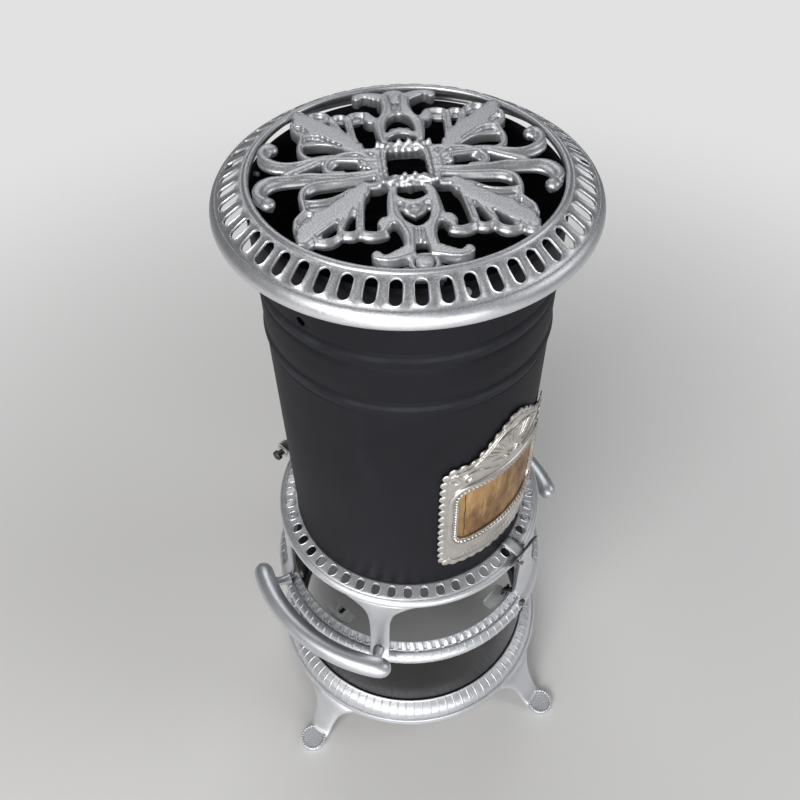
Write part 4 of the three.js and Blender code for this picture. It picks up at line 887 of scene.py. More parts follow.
def bend_to_skirt(shape):
    """Wraps the leg's root round the base: full at 138 mm from the axis, nothing at 146."""
    for point in shape.verts:
        across, out = point.co.x / MM, -point.co.y / MM
        if out < 146:
            share = min(1, (146 - out) / 8)
            point.co.y += (out - math.sqrt(max(out ** 2 - across ** 2, 1))) * share * MM


def add_paw_pad(shape):
    """Round pad with a rope edge of beads and a cast texture inside it."""
    pad = Matrix.Translation(Vector((0, -FOOT_RADIUS, 0)) * MM)
    lathed(shape, [(0, 0), (12.9, 0), (13.6, 0.8), (13.7, 2.8), (13.5, 5.0), (12.9, 6.0),
                   (11.9, 6.6), (10.9, 6.6), (10.2, 6.2), (9.6, 6.3), (0, 6.5)], pad, 48)
    for k in range(PAD_BEADS):
        bead(shape, (11.8, 0, 6.2), 1.55, placed=pad @ Matrix.Rotation(k * math.tau / PAD_BEADS, 4, "Z"))
    for k in range(PAD_GRAINS):
        a, r = k * GOLDEN_ANGLE, 9.6 * math.sqrt((k + 0.5) / PAD_GRAINS)
        bead(shape, (r * math.cos(a), r * math.sin(a), 6.15), 0.85, (1.1, 0.9, 0.7), pad, 1)


def make_leg(name, azimuth):
    """Cast leg with an S curve from the skirt down to its round pad."""
    # distance from the axis, top, underside, half width
    rows = [(129.0, 43.6, 41.2, 50.0), (133.5, 45.2, 41.0, 44.0), (138.5, 45.0, 40.2, 36.0),
            (141.6, 44.1, 38.4, 28.5), (144.4, 41.6, 35.4, 22.0), (147.4, 37.6, 31.0, 17.6),
            (150.6, 32.8, 25.4, 14.8), (154.0, 27.0, 19.4, 13.2), (157.6, 21.6, 13.6, 12.4),
            (161.0, 15.4, 8.0, 12.0), (164.2, 10.4, 4.6, 11.9), (167.4, 7.2, 2.2, 11.6),
            (170.6, 5.6, 1.0, 11.2), (174.0, 4.8, 0.4, 11.0)]
    section = [(-1, -0.4), (-0.98, 0.1), (-0.9, 0.55), (-0.7, 0.86), (-0.4, 0.98), (0, 1),
               (0.4, 0.98), (0.7, 0.86), (0.9, 0.55), (0.98, 0.1), (1, -0.4), (0.86, -0.9),
               (0.5, -1), (0, -1), (-0.5, -1), (-0.86, -0.9)]
    frames = [section_frame(Vector((0, -out, 0)), Vector((half, 0, 0)), Vector((0, -1, 0)), low, high)
              for out, high, low, half in rows]
    shape = bmesh.new()
    swept(shape, frames, section)
    bend_to_skirt(shape)
    add_paw_pad(shape)
    bmesh.ops.transform(shape, matrix=Matrix.Rotation(math.radians(azimuth), 4, "Z"),
                        verts=shape.verts[:])
    return finished(name, shape, "base", "smooth", ("base_casting",), 50)


# ------------------------------------------------------------------ handles and brackets
def make_handle(name, node, azimuth):
    """Round carrying bar that follows the stove, with domed ends and two arms to the gallery."""
    shape = bmesh.new()
    bar_radius, bar_height, reach = 9.35, 197.7, 33.5
    end = [(-1.0, 0.18), (-0.985, 0.5), (-0.955, 0.78), (-0.91, 0.95), (-0.85, 1.0)]
    stations = end + [(k / 20 * 0.82, 1.0) for k in range(-20, 21)]
    stations += [(-share, width) for share, width in reversed(end)]
    frames = []
    for share, width in stations:
        across, _, out = facing(0, azimuth + share * reach, 0).to_3x3().col
        half = bar_radius * width
        frames.append(section_frame(out * HANDLE_RADIUS, out * half, across, bar_height - half,
                                    bar_height + half))
    swept(shape, frames, ROUND_SECTION)
    # distance from the axis, height, half width, half thickness of an arm
    arm = [(127.6, 183.3, 5.6, 5.2), (131.6, 183.3, 5.2, 5.0), (134, 183.3, 4.6, 4.6),
           (137.5, 184, 4.2, 4.3), (142, 186.6, 4.3, 4.4), (147, 191, 4.8, 4.8), (150, 195, 5.2, 5.2)]
    for side in (-1, 1):
        across, _, out = facing(0, azimuth + side * 27, 0).to_3x3().col
        run = [section_frame(out * r, across * half, out, z - thick, z + thick)
               for r, z, half, thick in arm]
        swept(shape, run, ROUND_SECTION)
    return finished(name, shape, "base", "handle", (node,), 50)


def make_bracket(name, node, azimuth, hooded):
    """Bent tab inside the gallery on which the fount rested; some have a hood round a slot, whose shade is
    painted as a thin black strip lying on the tab.
    """
    placed = facing(0, azimuth, 0)
    outline = [(-5, 118.6), (-5, 116.4), (-13.5, 113.8), (-13.5, 105.6), (-11.2, 103.2), (11.2, 103.2),
               (13.5, 105.6), (13.5, 113.8), (5, 116.4), (5, 118.6)]
    shape = cut_plate([Vector((x, 181.8, r)) * MM for x, r in outline], (0, 1.6 * MM, 0))
    tidied(shape, 1e-7)
    ease(shape, [e for e in shape.edges if e.calc_face_angle(0) > 1.2
                 and abs(e.verts[0].co.y - e.verts[1].co.y) < 1e-6], 0.4)
    here = Matrix.Identity(4)
    block(shape, (0, 178.6, 117.6), (10, 9, 1.4), here, 0.3)
    if hooded:
        arch = [(-4.6, 104.4), (-4.5, 108.4), (-2.9, 111.6), (0, 113), (2.9, 111.6), (4.5, 108.4),
                (4.6, 104.4)]
        hood = bmesh.new()
        swept(hood, face_frames(smoothed(arch, 3), 1.1, -186.4, -183.2), FLAT_SECTION)
        bmesh.ops.transform(hood, matrix=Matrix.Rotation(math.pi / 2, 4, "X"), verts=hood.verts[:])
        pour(hood, shape)
        # Painted shadow: the slot is not cut; a thin black strip on the tab inside the hood stands in for
        # the shade seen through it.
        slot_shadow = bmesh.new()
        block(slot_shadow, (0, 183.6, 108), (3.6, 0.7, 7.0), placed, 0.3)
        finished(name + "_slot", slot_shadow, "base", "black", (), 35)
    else:
        block(shape, (0, 184.0, 103.9), (22, 2.2, 1.3), here, 0.4)
    bmesh.ops.transform(shape, matrix=placed, verts=shape.verts[:])
    return finished(name, shape, "base", "grey", (node,), 35)


# ------------------------------------------------------------------ trivet
def scalloped(points, depth):
    """Rounded teeth between the notches of a line, on its right side."""
    made = []
    for (x0, y0), (x1, y1) in zip(points, points[1:]):
        length = math.hypot(x1 - x0, y1 - y0)
        out_x, out_y = (y1 - y0) / length, -(x1 - x0) / length
        for t, rise in ((0.0, 0.0), (0.15, 0.72), (0.5, 1.0), (0.85, 0.72)):
            made.append((x0 + (x1 - x0) * t + out_x * depth * rise,
                         y0 + (y1 - y0) * t + out_y * depth * rise))
    return made + [points[-1]]


def mirror_images(points, ends):
    """A line and its image on the other side, at each of the given ends of the grate."""
    for end in ends:
        for side in (1, -1):
            yield [(p[0] * side, p[1] * end, *p[2:]) for p in points]


class Grate:
    """The openwork casting before it is run together: millimetres, seen from above, with the
    pin at -Y. What it is given is repeated left and right and, where both ends are, front and
    back."""

    def __init__(self):
        self.shape = bmesh.new()

    def strokes(self, points, low=GRATE_BOTTOM, high=GRATE_TOP, section=None, ends=(1, -1)):
        for line in mirror_images(points, ends):
            bar(self.shape, line, low, high, section)

    def plates(self, outline, low=GRATE_BOTTOM, high=GRATE_TOP):
        for line in mirror_images(outline, (1, -1)):
            cut = cut_plate([Vector((x, y, low)) * MM for x, y in line], (0, 0, (high - low) * MM))
            pour(tidied(cut, 1e-7), self.shape)

    def balls(self, points, ends=(1, -1)):
        for line in mirror_images(points, ends):
            for x, y, z, radius, flat in line:
                bead(self.shape, (x, y, z), radius, (1, 1, flat))

    def column(self, x, y, radius, foot, head):
        lathed(self.shape, [(0, foot), (radius * 0.7, foot), (radius, foot + 1.2),
                            (radius, head - 1.4), (radius * 0.7, head - 0.4), (0, head)],
               Matrix.Translation(Vector((x, y, 0)) * MM), 14)


def lyre(grate):
    """Lyre at an end of the grate, with its hooked, scalloped feet."""
    outer = [(-8.4, -17), (-11.4, -20), (-13.6, -26), (-15.4, -32), (-16.4, -40), (-17, -48),
             (-17.4, -53), (-14.6, -57), (-12.4, -60), (-11, -64), (-10, -70), (-9.8, -76)]
    instep = scalloped([(-10.4, -81.6), (-13.2, -83.8), (-16.4, -85.6), (-19, -87.4), (-21.4, -88.8)], 0.8)
    toe = [(-23.2, -86.4), (-24.8, -84.2), (-26.8, -83.6), (-28.6, -85), (-29.6, -87.6), (-29, -89.4),
           (-26, -91.4), (-21, -92.8), (-15.4, -92.4), (-10.6, -90.6), (-7, -89.4), (-4.6, -88.4)]
    inner = [(-4, -84), (-3.4, -78), (-3.6, -70), (-4.4, -61.4), (-6.8, -57.6), (-8.4, -53),
             (-9.2, -49), (-9.8, -44), (-9.9, -38), (-9.6, -31), (-8.8, -25)]
    grate.plates(outer + instep + toe + inner)
    grate.strokes([(-9.6, -85.6, 3.2), (-14, -89.2, 3.0), (-20.4, -90.8, 3.0), (-26, -88.8, 2.8)],
                  GRATE_BOTTOM, 615.4, ROUND_SECTION)
    grate.strokes([(-13.2, -29, 0.8), (-13.6, -42, 0.9), (-13.4, -52, 1.0), (-9.4, -62, 0.8),
                   (-7.2, -72, 0.8), (-8, -82, 0.9)], 616, 618.5)


def crescent_and_stem(grate):
    """Crescent, heart drop and fluted stem inside the lyre."""
    grate.plates([(-10.4, -30), (-8, -33.6), (-4.4, -36.4), (0.1, -37.6), (0.1, -43.8), (-2.4, -42.6),
                  (-6, -40.4), (-10.4, -37.6)], 612.6)
    grate.balls([(-4.2, -42.2, 613.4, 4.3, 0.95), (-1.2, -45.4, 612.8, 3.2, 1.0)])
    grate.strokes([(-8.4, -40, 1.4), (-5, -45.2, 1.6), (0, -49.4, 1.2)], GRATE_BOTTOM, 614.6,
                  ROUND_SECTION)
    grate.plates([(-4.6, -61.2), (-2.4, -62.4), (0.1, -62.9), (0.1, -77), (-4.4, -77), (-5, -70)],
                 high=615.2)
    foot_roll = ((-6, -60), (-3, -63.2), (0, -64.2), (3, -63.2), (6, -60))
    for end in (1, -1):
        bar(grate.shape, [(x, y * end, 1.1) for x, y in foot_roll], GRATE_BOTTOM, GRATE_TOP)
        for x in (-3.5, 0, 3.5):
            bar(grate.shape, [(x * 0.9, -65.4 * end, 0.8), (x, -75.6 * end, 0.9)], GRATE_BOTTOM, 617.6)


def leaf_blade(grate):
    """Blade of the leaf with its scalloped outer edge."""
    edge = [(-29.6, -14.4), (-33.2, -18.2), (-36.8, -21.6), (-39.8, -25.2), (-42.6, -29), (-46.6, -32),
            (-50, -35.4), (-53, -39), (-57.4, -40.8), (-61.4, -43), (-62.6, -47.6), (-65.4, -51.6),
            (-69.2, -54.4), (-71.4, -60), (-72, -65.6)]
    spine = [(-25.4, -17), (-25.6, -22), (-28.6, -27), (-31.6, -31.6), (-35.4, -37.2), (-39.6, -42.8),
             (-43.6, -48.2), (-48, -53.8), (-53.4, -59.8), (-58.6, -64.6), (-63.4, -67.4),
             (-67.4, -70.4), (-70.6, -71.6)]
    grate.plates(scalloped(edge[::-1], 1.1) + spine)
    grate.strokes([(-27.4, -20.4, 1.6), (-27, -24.4, 1.6), (-27.6, -28, 1.2)])
    grate.strokes([(-26, -19.4, 2.6), (-19.4, -18.6, 3.2), (-14, -16, 2.2)])


def leaf_ribs(grate):
    """Ribs under the blade, in pairs."""
    grate.strokes([(-29.2, -30, 1.2), (-30.6, -38, 1.0), (-31.6, -50, 1.0), (-32.6, -61.6, 1.3)])
    grate.strokes([(-32, -33, 1.3), (-33.8, -40, 1.0), (-34.8, -50, 1.0), (-35.4, -61.6, 1.3)])
    grate.strokes([(-31.8, -36, 1.8), (-33.4, -50, 1.8), (-34, -61, 2.0)], high=615.6)
    grate.strokes([(-34, -36, 1.3), (-37.6, -43, 1.0), (-41.2, -52, 1.0), (-44.2, -60.6, 1.3)])
    grate.strokes([(-37.6, -41, 1.3), (-42.4, -48.6, 1.0), (-45.4, -54.6, 0.9), (-46.6, -61.6, 1.1)])
    grate.strokes([(-38.4, -44.6, 1.6), (-42.6, -53, 1.5), (-45.4, -61, 1.6)], high=615.6)


def front_lobes(grate):
    """Lobes along the foot of a leaf: a thin rim over a bulging wall, with a hollow behind."""
    grate.plates([(-12.6, -50), (-17.4, -52.6), (-20.6, -53), (-22.8, -56), (-24, -59.6),
                  (-22.6, -62.4), (-22.8, -65.6), (-19.6, -66.2), (-17, -62), (-14, -57)])
    rims = [[(-19.4, -65.4), (-22.8, -66.4), (-28, -66.6), (-32.2, -65), (-34.4, -61.4)],
            [(-34.4, -61.4), (-36.6, -64.2), (-39.6, -65), (-42.8, -64.2), (-45.2, -61.4)],
            [(-45.2, -61.4), (-48, -67.2), (-52.6, -69.8), (-57.8, -69.2), (-61.6, -66)],
            [(-61.6, -66), (-63.6, -70), (-66.6, -71.8), (-69.8, -71.8)]]
    for rim in rims:
        grate.strokes([(x, y, 0.85) for x, y in rim])
        grate.strokes([(x, y - 0.9, 2.5) for x, y in rim], GRATE_BOTTOM, 616.2, ROUND_SECTION)
    grate.plates([(-34.6, -61), (-30, -59.4), (-25.4, -60.4), (-23, -66), (-30, -66.4)], high=613.6)
    grate.plates([(-45, -61), (-40, -60), (-35, -61), (-37, -64.6), (-42, -64.6)], high=613.6)
    grate.plates([(-61.4, -65), (-54, -64), (-46.4, -62.6), (-49, -68), (-56, -69.6)], high=613.2)


def outer_loop(grate):
    """Outer loop with two pockets beside the blade."""
    grate.strokes([(-20, -8.4, 2.8), (-30, -10.6, 2.4), (-42, -12, 2.1), (-52, -12.4, 2.1),
                   (-60, -13.8, 2.2), (-65, -17.6, 2.3), (-67, -23.4, 2.2), (-67.2, -29.4, 2.1),
                   (-66.4, -35, 1.9), (-65.8, -40, 1.7), (-68, -44.8, 1.8), (-71, -50, 1.7),
                   (-71.8, -58, 1.4)])
    grate.strokes([(-30, -11.6, 2.2), (-46, -13.4, 2.4), (-58, -15, 2.4), (-63.4, -19, 2.2)],
                  GRATE_BOTTOM, 616, ROUND_SECTION)
    grate.strokes([(-66, -31, 0.9), (-57, -31.6, 0.9), (-49, -30.2, 0.9), (-43, -26.8, 0.9),
                   (-37, -21.6, 0.9)])
    grate.strokes([(-66.4, -40.6, 1.0), (-63, -42.6, 0.9), (-60, -42.6, 0.9)])
    grate.plates([(-67, -31.5), (-56, -31.6), (-46, -28.6), (-42, -29), (-52, -40), (-62, -44),
                  (-67, -42)], high=613.4)
    grate.plates([(-61, -43), (-66.4, -42), (-69, -46), (-72, -52), (-70, -56), (-62, -50)], high=614)


def side_scrolls(grate):
    """An eye at each side, an arm that curls to the pin's end and one that curls away from it."""
    grate.strokes([(-22, 9, 2.4), (-25, 14, 2.4), (-31, 17.6, 2.4), (-39, 17.2, 2.4), (-46, 13.4, 2.4),
                   (-50.6, 7.4, 2.3), (-51.4, 1.4, 2.2), (-47.6, -2.8, 2.0), (-40, -3.6, 2.0)],
                  ends=AS_DRAWN)
    grate.strokes([(-24, 12, 2.8), (-31, 15.8, 3.2), (-39, 15.4, 3.2), (-45.6, 11.6, 3.2),
                   (-49.6, 6, 3.0), (-49.6, 0.4, 2.6)], GRATE_BOTTOM, 615.8, ROUND_SECTION, AS_DRAWN)
    grate.balls([(-26.6, 4.6, 613.6, 4.8, 1.0), (-24.6, 1, 616.2, 2.0, 1.0),
                 (-28.8, 2.2, 616.6, 1.8, 1.0), (-28.6, 6.8, 616.8, 1.8, 1.0),
                 (-87.8, -28.2, 613.8, 5.0, 0.9), (-85.8, 31.4, 613.8, 4.8, 0.9)], AS_DRAWN)
    grate.strokes([(-20, -4.4, 2.4), (-30, -5.6, 2.4), (-42, -6, 2.3), (-54, -4.8, 2.2),
                   (-64, -3.4, 2.1), (-73, -5, 1.9), (-81, -4.6, 2.2), (-87, -5.6, 2.8),
                   (-92, -9.6, 3.3), (-94.4, -15.6, 3.2), (-93.6, -21.4, 2.7), (-90.4, -25.4, 2.2),
                   (-87.4, -26.4, 1.6)], ends=AS_DRAWN)
    grate.strokes([(-24, -6.4, 2.6), (-42, -7.6, 3.2), (-56, -6.4, 3.4), (-70, -6.6, 3.6),
                   (-82, -7.4, 3.8), (-89, -11.6, 4.0), (-92, -17.6, 4.0), (-91, -24.4, 4.2),
                   (-88, -28.2, 4.2)], GRATE_BOTTOM, 616, ROUND_SECTION, AS_DRAWN)
    grate.strokes([(-46, 15.6, 1.8), (-56, 14.6, 1.9), (-64, 11.8, 2.0), (-72, 9.8, 2.1),
                   (-80, 10.8, 2.3), (-87, 15.2, 2.6), (-91.4, 21.4, 2.8), (-92, 28.2, 2.8),
                   (-89, 33.4, 2.5), (-85.6, 33.6, 2.0)], ends=AS_DRAWN)
    grate.strokes([(-56, 12.2, 2.8), (-66, 9, 3.2), (-75, 7.6, 3.6), (-83, 10, 3.8), (-89.4, 15.6, 4.0),
                   (-91.2, 23, 4.0), (-89, 29.4, 4.0), (-86, 31.6, 4.0)], GRATE_BOTTOM, 616,
                  ROUND_SECTION, AS_DRAWN)
    grate.strokes([(-77, -1.4, 3.0), (-70, 2.8, 3.2), (-62, 7.6, 3.2), (-54, 12.4, 2.6)], ends=AS_DRAWN)


def rear_boss(grate):
    """Boss at the far end, to match the one on the pin."""
    lathed(grate.shape, [(0, GRATE_BOTTOM), (8.4, GRATE_BOTTOM), (8.8, GRATE_BOTTOM + 0.6), (8.8, 615.2),
                         (8.2, 615.9), (0, 615.9)], Matrix.Translation(Vector((0, 89, 0)) * MM), 36)


def collar_place(a, half_x, half_y):
    """Point at an angle round a rounded rectangle."""
    grow_by = (abs(math.cos(a)) ** 4.5 + abs(math.sin(a)) ** 4.5) ** (-1 / 4.5)
    return half_x * math.cos(a) * grow_by, half_y * math.sin(a) * grow_by


def crest_height(x):
    """Top of the collar's end walls: a leaf in the middle, then a fall to the shoulders."""
    crest = [(0, 621.6), (1.6, 622.2), (3.2, 624.4), (4.8, 622.2), (6.8, 621.6), (8.6, 622.6),
             (10.6, 622.0), (12.4, 620.2), (14.4, 618.6), (17, 617.8)]
    for (x0, z0), (x1, z1) in zip(crest, crest[1:]):
        if abs(x) <= x1:
            return z0 + (z1 - z0) * (abs(x) - x0) / (x1 - x0)
    return crest[-1][1]


def collar_wall(grate):
    """Rounded rectangular wall with a leafy crest at both ends."""
    count = 132
    ring = []
    for k in range(count):
        x, y = collar_place((k + 0.5) * math.tau / count, 15.2, 18.4)
        ring.append((x, y, 1.7, 610.2, crest_height(x) if abs(y) > 13 else 618.0))
    bar(grate.shape, ring, 610.2, 620.2, closed=True, steps=1)


def collar_ends(grate):
    """Flutes inside and drops outside, and leaves that sweep from the crest to the shoulders."""
    shape = grate.shape
    for end in (1, -1):
        for k in range(-3, 4):
            grate.column(k * 4.2, 17.0 * end, 1.9, 611.6, 618.6)
            if k:
                grate.column(k * 4.2, 20.2 * end, 2.1, 611.2, 617.8)
            else:
                grate.column(0, 20.2 * end, 2.8, 610.2, 619)
        for side in (1, -1):
            leaf = [(7.5, 19.0, 1.3, 614, 622.4), (12, 20.6, 1.2, 614, 621.4),
                    (16.4, 20.6, 1.1, 613, 619.4), (20, 19.4, 1.2, 612, 618.2)]
            bar(shape, [(side * x, y * end, *rest) for x, y, *rest in leaf], 612, 620)
            bead(shape, (side * 16.6, 21.4 * end, 619.6), 1.7, (1, 1, 1.6))
            bead(shape, (side * 3.2, 19.0 * end, 622.6), 1.6, (1, 1, 1.3))


def collar_sides(grate):
    """Two rows of stepped petals and a row of drops along each side."""
    for side in (1, -1):
        for k in range(-4, 5):
            wobble = 0.7 * (k % 2)
            grate.column(side * (14.4 - 0.3 * wobble), k * 3.7, 1.9, 611.4, 618.6 + wobble)
            grate.column(side * (18.4 + wobble), k * 3.9, 2.2, 611.2, 617.9 + 0.6 * wobble)
        for k in range(-2, 3):
            bead(grate.shape, (side * 21.6, k * 4.4, 615.8), 2.3, (1, 1, 1.1))


def pin_boss(grate):
    """Boss with a bore for the pin."""
    outline = [(5.9, 610), (5.9, 614.6), (6.3, 615.2), (7.6, 615.6), (8.6, 615.2), (9.0, 614.4),
               (9.0, 610)]
    lathed(grate.shape, outline, Matrix.Translation(Vector((0, -PIN_RADIUS, 0)) * MM), 36, closed=True)


def make_trivet():
    grate = Grate()
    for part in (lyre, crescent_and_stem, leaf_blade, leaf_ribs, front_lobes, outer_loop, side_scrolls,
                 rear_boss, collar_wall, collar_ends, collar_sides, pin_boss):
        part(grate)
    bmesh.ops.transform(grate.shape, matrix=Matrix.Rotation(math.radians(TRIVET_AZIMUTH), 4, "Z"),
                        verts=grate.shape.verts[:])
    piece = finished("trivet_openwork", grate.shape, "trivet", "casting", ("trivet",), 180)
    return fused(piece, grain=0.85, passes=2, factor=0.45)


def make_pin():
    shape = bmesh.new()
    lathed(shape, [(0, 604.6), (4.9, 604.6), (5.05, 606), (5.05, 615.9), (4.7, 616.6), (3.9, 616.9),
                   (0, 617.0)], Matrix.Translation(spot(PIN_RADIUS, TRIVET_AZIMUTH, 0)), 36)
    return finished("trivet_rivet", shape, "drum", "casting", ("trivet_pin",), 35)


# ------------------------------------------------------------------ window
WINDOW_PITCH = 1.876  # millimetres round the plate's face for each degree
SCALLOPS = 58
PLATE_FACE = 0.6  # where the raised work starts, inside the plate's 1.1 mm thickness


def bent(shape):
    """Carries a flat shape (x along the wall, y height above the drum's foot, z outwards) on to
    the drum."""
    for point in shape.verts:
        u, v, w = point.co / MM
        point.co = spot(WINDOW_RADIUS + w, WINDOW_AZIMUTH + u / WINDOW_PITCH, DRUM_BOTTOM + v)
    return shape


def plate_outline(inset, scallop):
    """Edge of the plate, 1.4 mm and the inset inside its drawn line, with scallops this high."""
    half = [(0, 27.6), (20, 27.4), (40, 27.2), (50, 27.6), (56, 29.2), (60, 32.4), (62.2, 38),
            (63, 60), (63.2, 90), (63.2, 120), (63, 138), (62.4, 148), (60.6, 154), (56.4, 158.4),
            (50, 160.6), (43, 161.4), (38, 162.4), (34.4, 165.6), (31, 169.4), (26.8, 171.8),
            (23.4, 176.6), (18.4, 181.4), (12.4, 186.2), (6.4, 190.2), (0, 192.2)]
    line = half + [(-x, y) for x, y in reversed(half[1:-1])]
    curve = dense(closed_curve(line, 3), 1.0)
    made = []
    for i, point in enumerate(curve):
        before, after = curve[i - 2], curve[(i + 2) % len(curve)]
        along = Vector((after[0] - before[0], after[1] - before[1])).normalized()
        out = Vector((along.y, -along.x))
        wave = abs(math.sin(math.pi * SCALLOPS * i / len(curve))) * scallop
        made.append((point[0] + out.x * (wave - inset - 1.4), point[1] + out.y * (wave - inset - 1.4)))
    return made


def dense(points, pitch, closed=True):
    """Points at an even pitch along a line."""
    run = points + points[:1] if closed else points
    lengths = [math.dist(a, b) for a, b in zip(run, run[1:])]
    total = sum(lengths)
    count = max(3, round(total / pitch))
    made, i, passed = [], 0, 0.0
    for k in range(count):
        target = total * k / (count if closed else count - 1)
        while i < len(lengths) - 1 and passed + lengths[i] < target:
            passed += lengths[i]
            i += 1
        t = (target - passed) / max(lengths[i], 1e-9)
        made.append(tuple(a + (b - a) * t for a, b in zip(run[i], run[i + 1])))
    return made


def rounded_window(grow_by):
    """Line round the window opening, grown outwards by a distance."""
    half, low, high, corner = 48.2 + grow_by, 62 - grow_by, 128 + grow_by, 9 + grow_by
    made = []
    for cx, cy, first in ((half - corner, low + corner, -90), (half - corner, high - corner, 0),
                          (-half + corner, high - corner, 90), (-half + corner, low + corner, 180)):
        made += [(cx + corner * math.cos(math.radians(first + k * 15)),
                  cy + corner * math.sin(math.radians(first + k * 15))) for k in range(7)]
    return made


def face_frames(points, half, low, high, closed=False):
    """Frames for a moulding on a flat plate; half is its half width, or gives it for a share of
    the run."""
    frames = []
    for i, (x, y) in enumerate(points):
        along, side = direction_at(points, i, closed)
        width = half(i / (len(points) - 1)) if callable(half) else half
        frames.append(section_frame(Vector((x, y, 0)), side * width, along, low, high))
    return frames


def moulding(shape, points, half, high, low=PLATE_FACE, closed=True, pitch=2.0, section=None):
    line = dense(points, pitch, closed)
    return swept(shape, face_frames(line, half, low, high, closed), section or FLAT_SECTION, closed)


def spray(shape, x, y, reach, turn, leaves, spread, high):
    """Fan of pointed leaves from a root."""
    widths = [0.7, 1.2, 1.55, 1.5, 1.05, 0.3]
    for k in range(leaves):
        share = k / (leaves - 1) - 0.5
        a = math.radians(turn + spread * share)
        tip = 0.72 + 0.28 * math.cos(share * math.pi)
        run = [(x + reach * tip * s * math.sin(a), y + reach * tip * s * math.cos(a))
               for s in (0.12, 0.3, 0.5, 0.7, 0.88, 1.0)]
        swept(shape, face_frames(run, lambda t: widths[round(t * 5)] * reach / 14, PLATE_FACE, high),
              FLAT_SECTION)


def scroll(shape, points, half, high):
    """Curl that swells from its root and thins at its tip."""
    swept(shape, face_frames(smoothed(points, 5),
                             lambda t: half * (0.45 + 0.55 * math.sin(math.pi * min(1, t * 1.15))),
                             PLATE_FACE, high), FLAT_SECTION)


def plate_blank():
    """Flat scalloped plate with the window opening, cut in strips so that it can be bent."""
    plate = bmesh.new()
    rim, hole = (chain(plate, [Vector((x, y, 0)) * MM for x, y in line], closed=True)
                 for line in (dense(plate_outline(0, 2.4), 1.3), rounded_window(0)))
    bmesh.ops.triangle_fill(plate, edges=rim + hole, use_beauty=True, use_dissolve=False)
    for k in range(-16, 17):
        bmesh.ops.bisect_plane(plate, geom=plate.verts[:] + plate.edges[:] + plate.faces[:],
                               plane_co=(k * 4 * MM, 0, 0), plane_no=(1, 0, 0))
    thicken(plate, (0, 0, 1.1 * MM))
    return tidied(plate, 1e-7)


def plate_edges(plate):
    """Edge roll and scallop bosses, and round the window two mouldings with a groove between, a
    row of beads and an inner lip."""
    moulding(plate, plate_outline(4.4, 0), 0.6, 1.9, pitch=2.2)
    bosses = plate_outline(0.9, 0)
    for k in range(SCALLOPS):
        x, y = bosses[round((k + 0.5) * len(bosses) / SCALLOPS) % len(bosses)]
        bead(plate, (x, y, 0.9), 3.7, (1, 1, 0.2))
    moulding(plate, rounded_window(6.6), 2.2, 2.95, low=0.4, section=ROUND_TOP)
    moulding(plate, rounded_window(3.9), 0.35, 1.7)
    for x, y in dense(rounded_window(2.4), 3.5):
        bead(plate, (x, y, 1.7), 1.45, detail=1)
    moulding(plate, rounded_window(0.25), 0.3, 1.5, low=0.4)


def plate_fan(plate):
    """Arched band under the crest with a fluted fan in it."""
    arch = [(-37, 157.4), (-30, 163), (-22, 168.6), (-12, 173.6), (0, 176), (12, 173.6), (22, 168.6),
            (30, 163), (37, 157.4)]
    moulding(plate, smoothed(arch, 4), 0.8, 2.1, closed=False)
    crest = [(-33, 162.4), (-24, 172), (-12, 181.6), (0, 186.2), (12, 181.6), (24, 172), (33, 162.4)]
    moulding(plate, smoothed(crest, 4), 0.7, 1.9, closed=False)
    for k in range(-7, 8):
        a = math.radians(k * 9)
        inner, outer = 12.5, 24.5 - 0.05 * k * k
        flute = [(r * math.sin(a) * 1.7, 149 + r * math.cos(a))
                 for r in (inner, (inner + outer) / 2, outer)]
        swept(plate, face_frames(flute, lambda t: 0.7 + 0.7 * t, PLATE_FACE, 2.3), FLAT_SECTION)


def plate_leaves(plate):
    """Scrolls with leaves each side of the fan, corner sprays, and a leaf-and-dart row along the
    foot."""
    for side in (-1, 1):
        long_scroll = [(14, 142), (24, 145.4), (33, 149.6), (42, 148.6), (46, 143.6), (42, 140.4),
                       (38.6, 143.4)]
        short_scroll = [(12, 150), (22, 153), (30, 157.4), (37, 155.4)]
        scroll(plate, [(side * x, y) for x, y in long_scroll], 1.3, 2.4)
        scroll(plate, [(side * x, y) for x, y in short_scroll], 1.1, 2.3)
        spray(plate, side * 47, 144, 9, side * 62, 4, 100, 1.9)
        spray(plate, side * 52, 38, 9, side * 130, 4, 100, 1.9)
    spray(plate, 0, 141.6, 12, 0, 7, 150, 2.5)
    for k in range(-11, 12):
        dart = [(k * 3.7, 36.2), (k * 3.7, 38.4), (k * 3.7, 40.8), (k * 3.7, 42.4)]
        swept(plate, face_frames(dart, lambda t: (0.9, 1.35, 1.0, 0.3)[round(t * 3)], PLATE_FACE, 1.8),
              FLAT_SECTION)
    moulding(plate, [(-44, 34.2), (44, 34.2)], 0.6, 1.6, closed=False, pitch=4)


def make_window_plate():
    plate = plate_blank()
    plate_edges(plate)
    plate_fan(plate)
    plate_leaves(plate)
    bent(plate)
    return finished("window_frame", plate, "drum", "nickel", ("window_plate",), 40)


def make_mica():
    """Slightly rippled sheet behind the opening, 100.8 by 70.4 mm."""
    shape = bmesh.new()
    bmesh.ops.create_grid(shape, x_segments=28, y_segments=14, size=0.5)
    for point in shape.verts:
        u, v = point.co.x * 100.8, 95 + point.co.y * 70.4
        ripple = 0.10 * math.sin(u * 0.31 + v * 0.11) + 0.07 * math.sin(v * 0.37 - u * 0.13)
        point.co = Vector((u, v, -0.55 + ripple)) * MM
    bent(shape)
    towards(shape, outwards)
    return finished("mica_sheet", shape, "drum", "mica", ("mica_pane",), 180, wall=0.35)


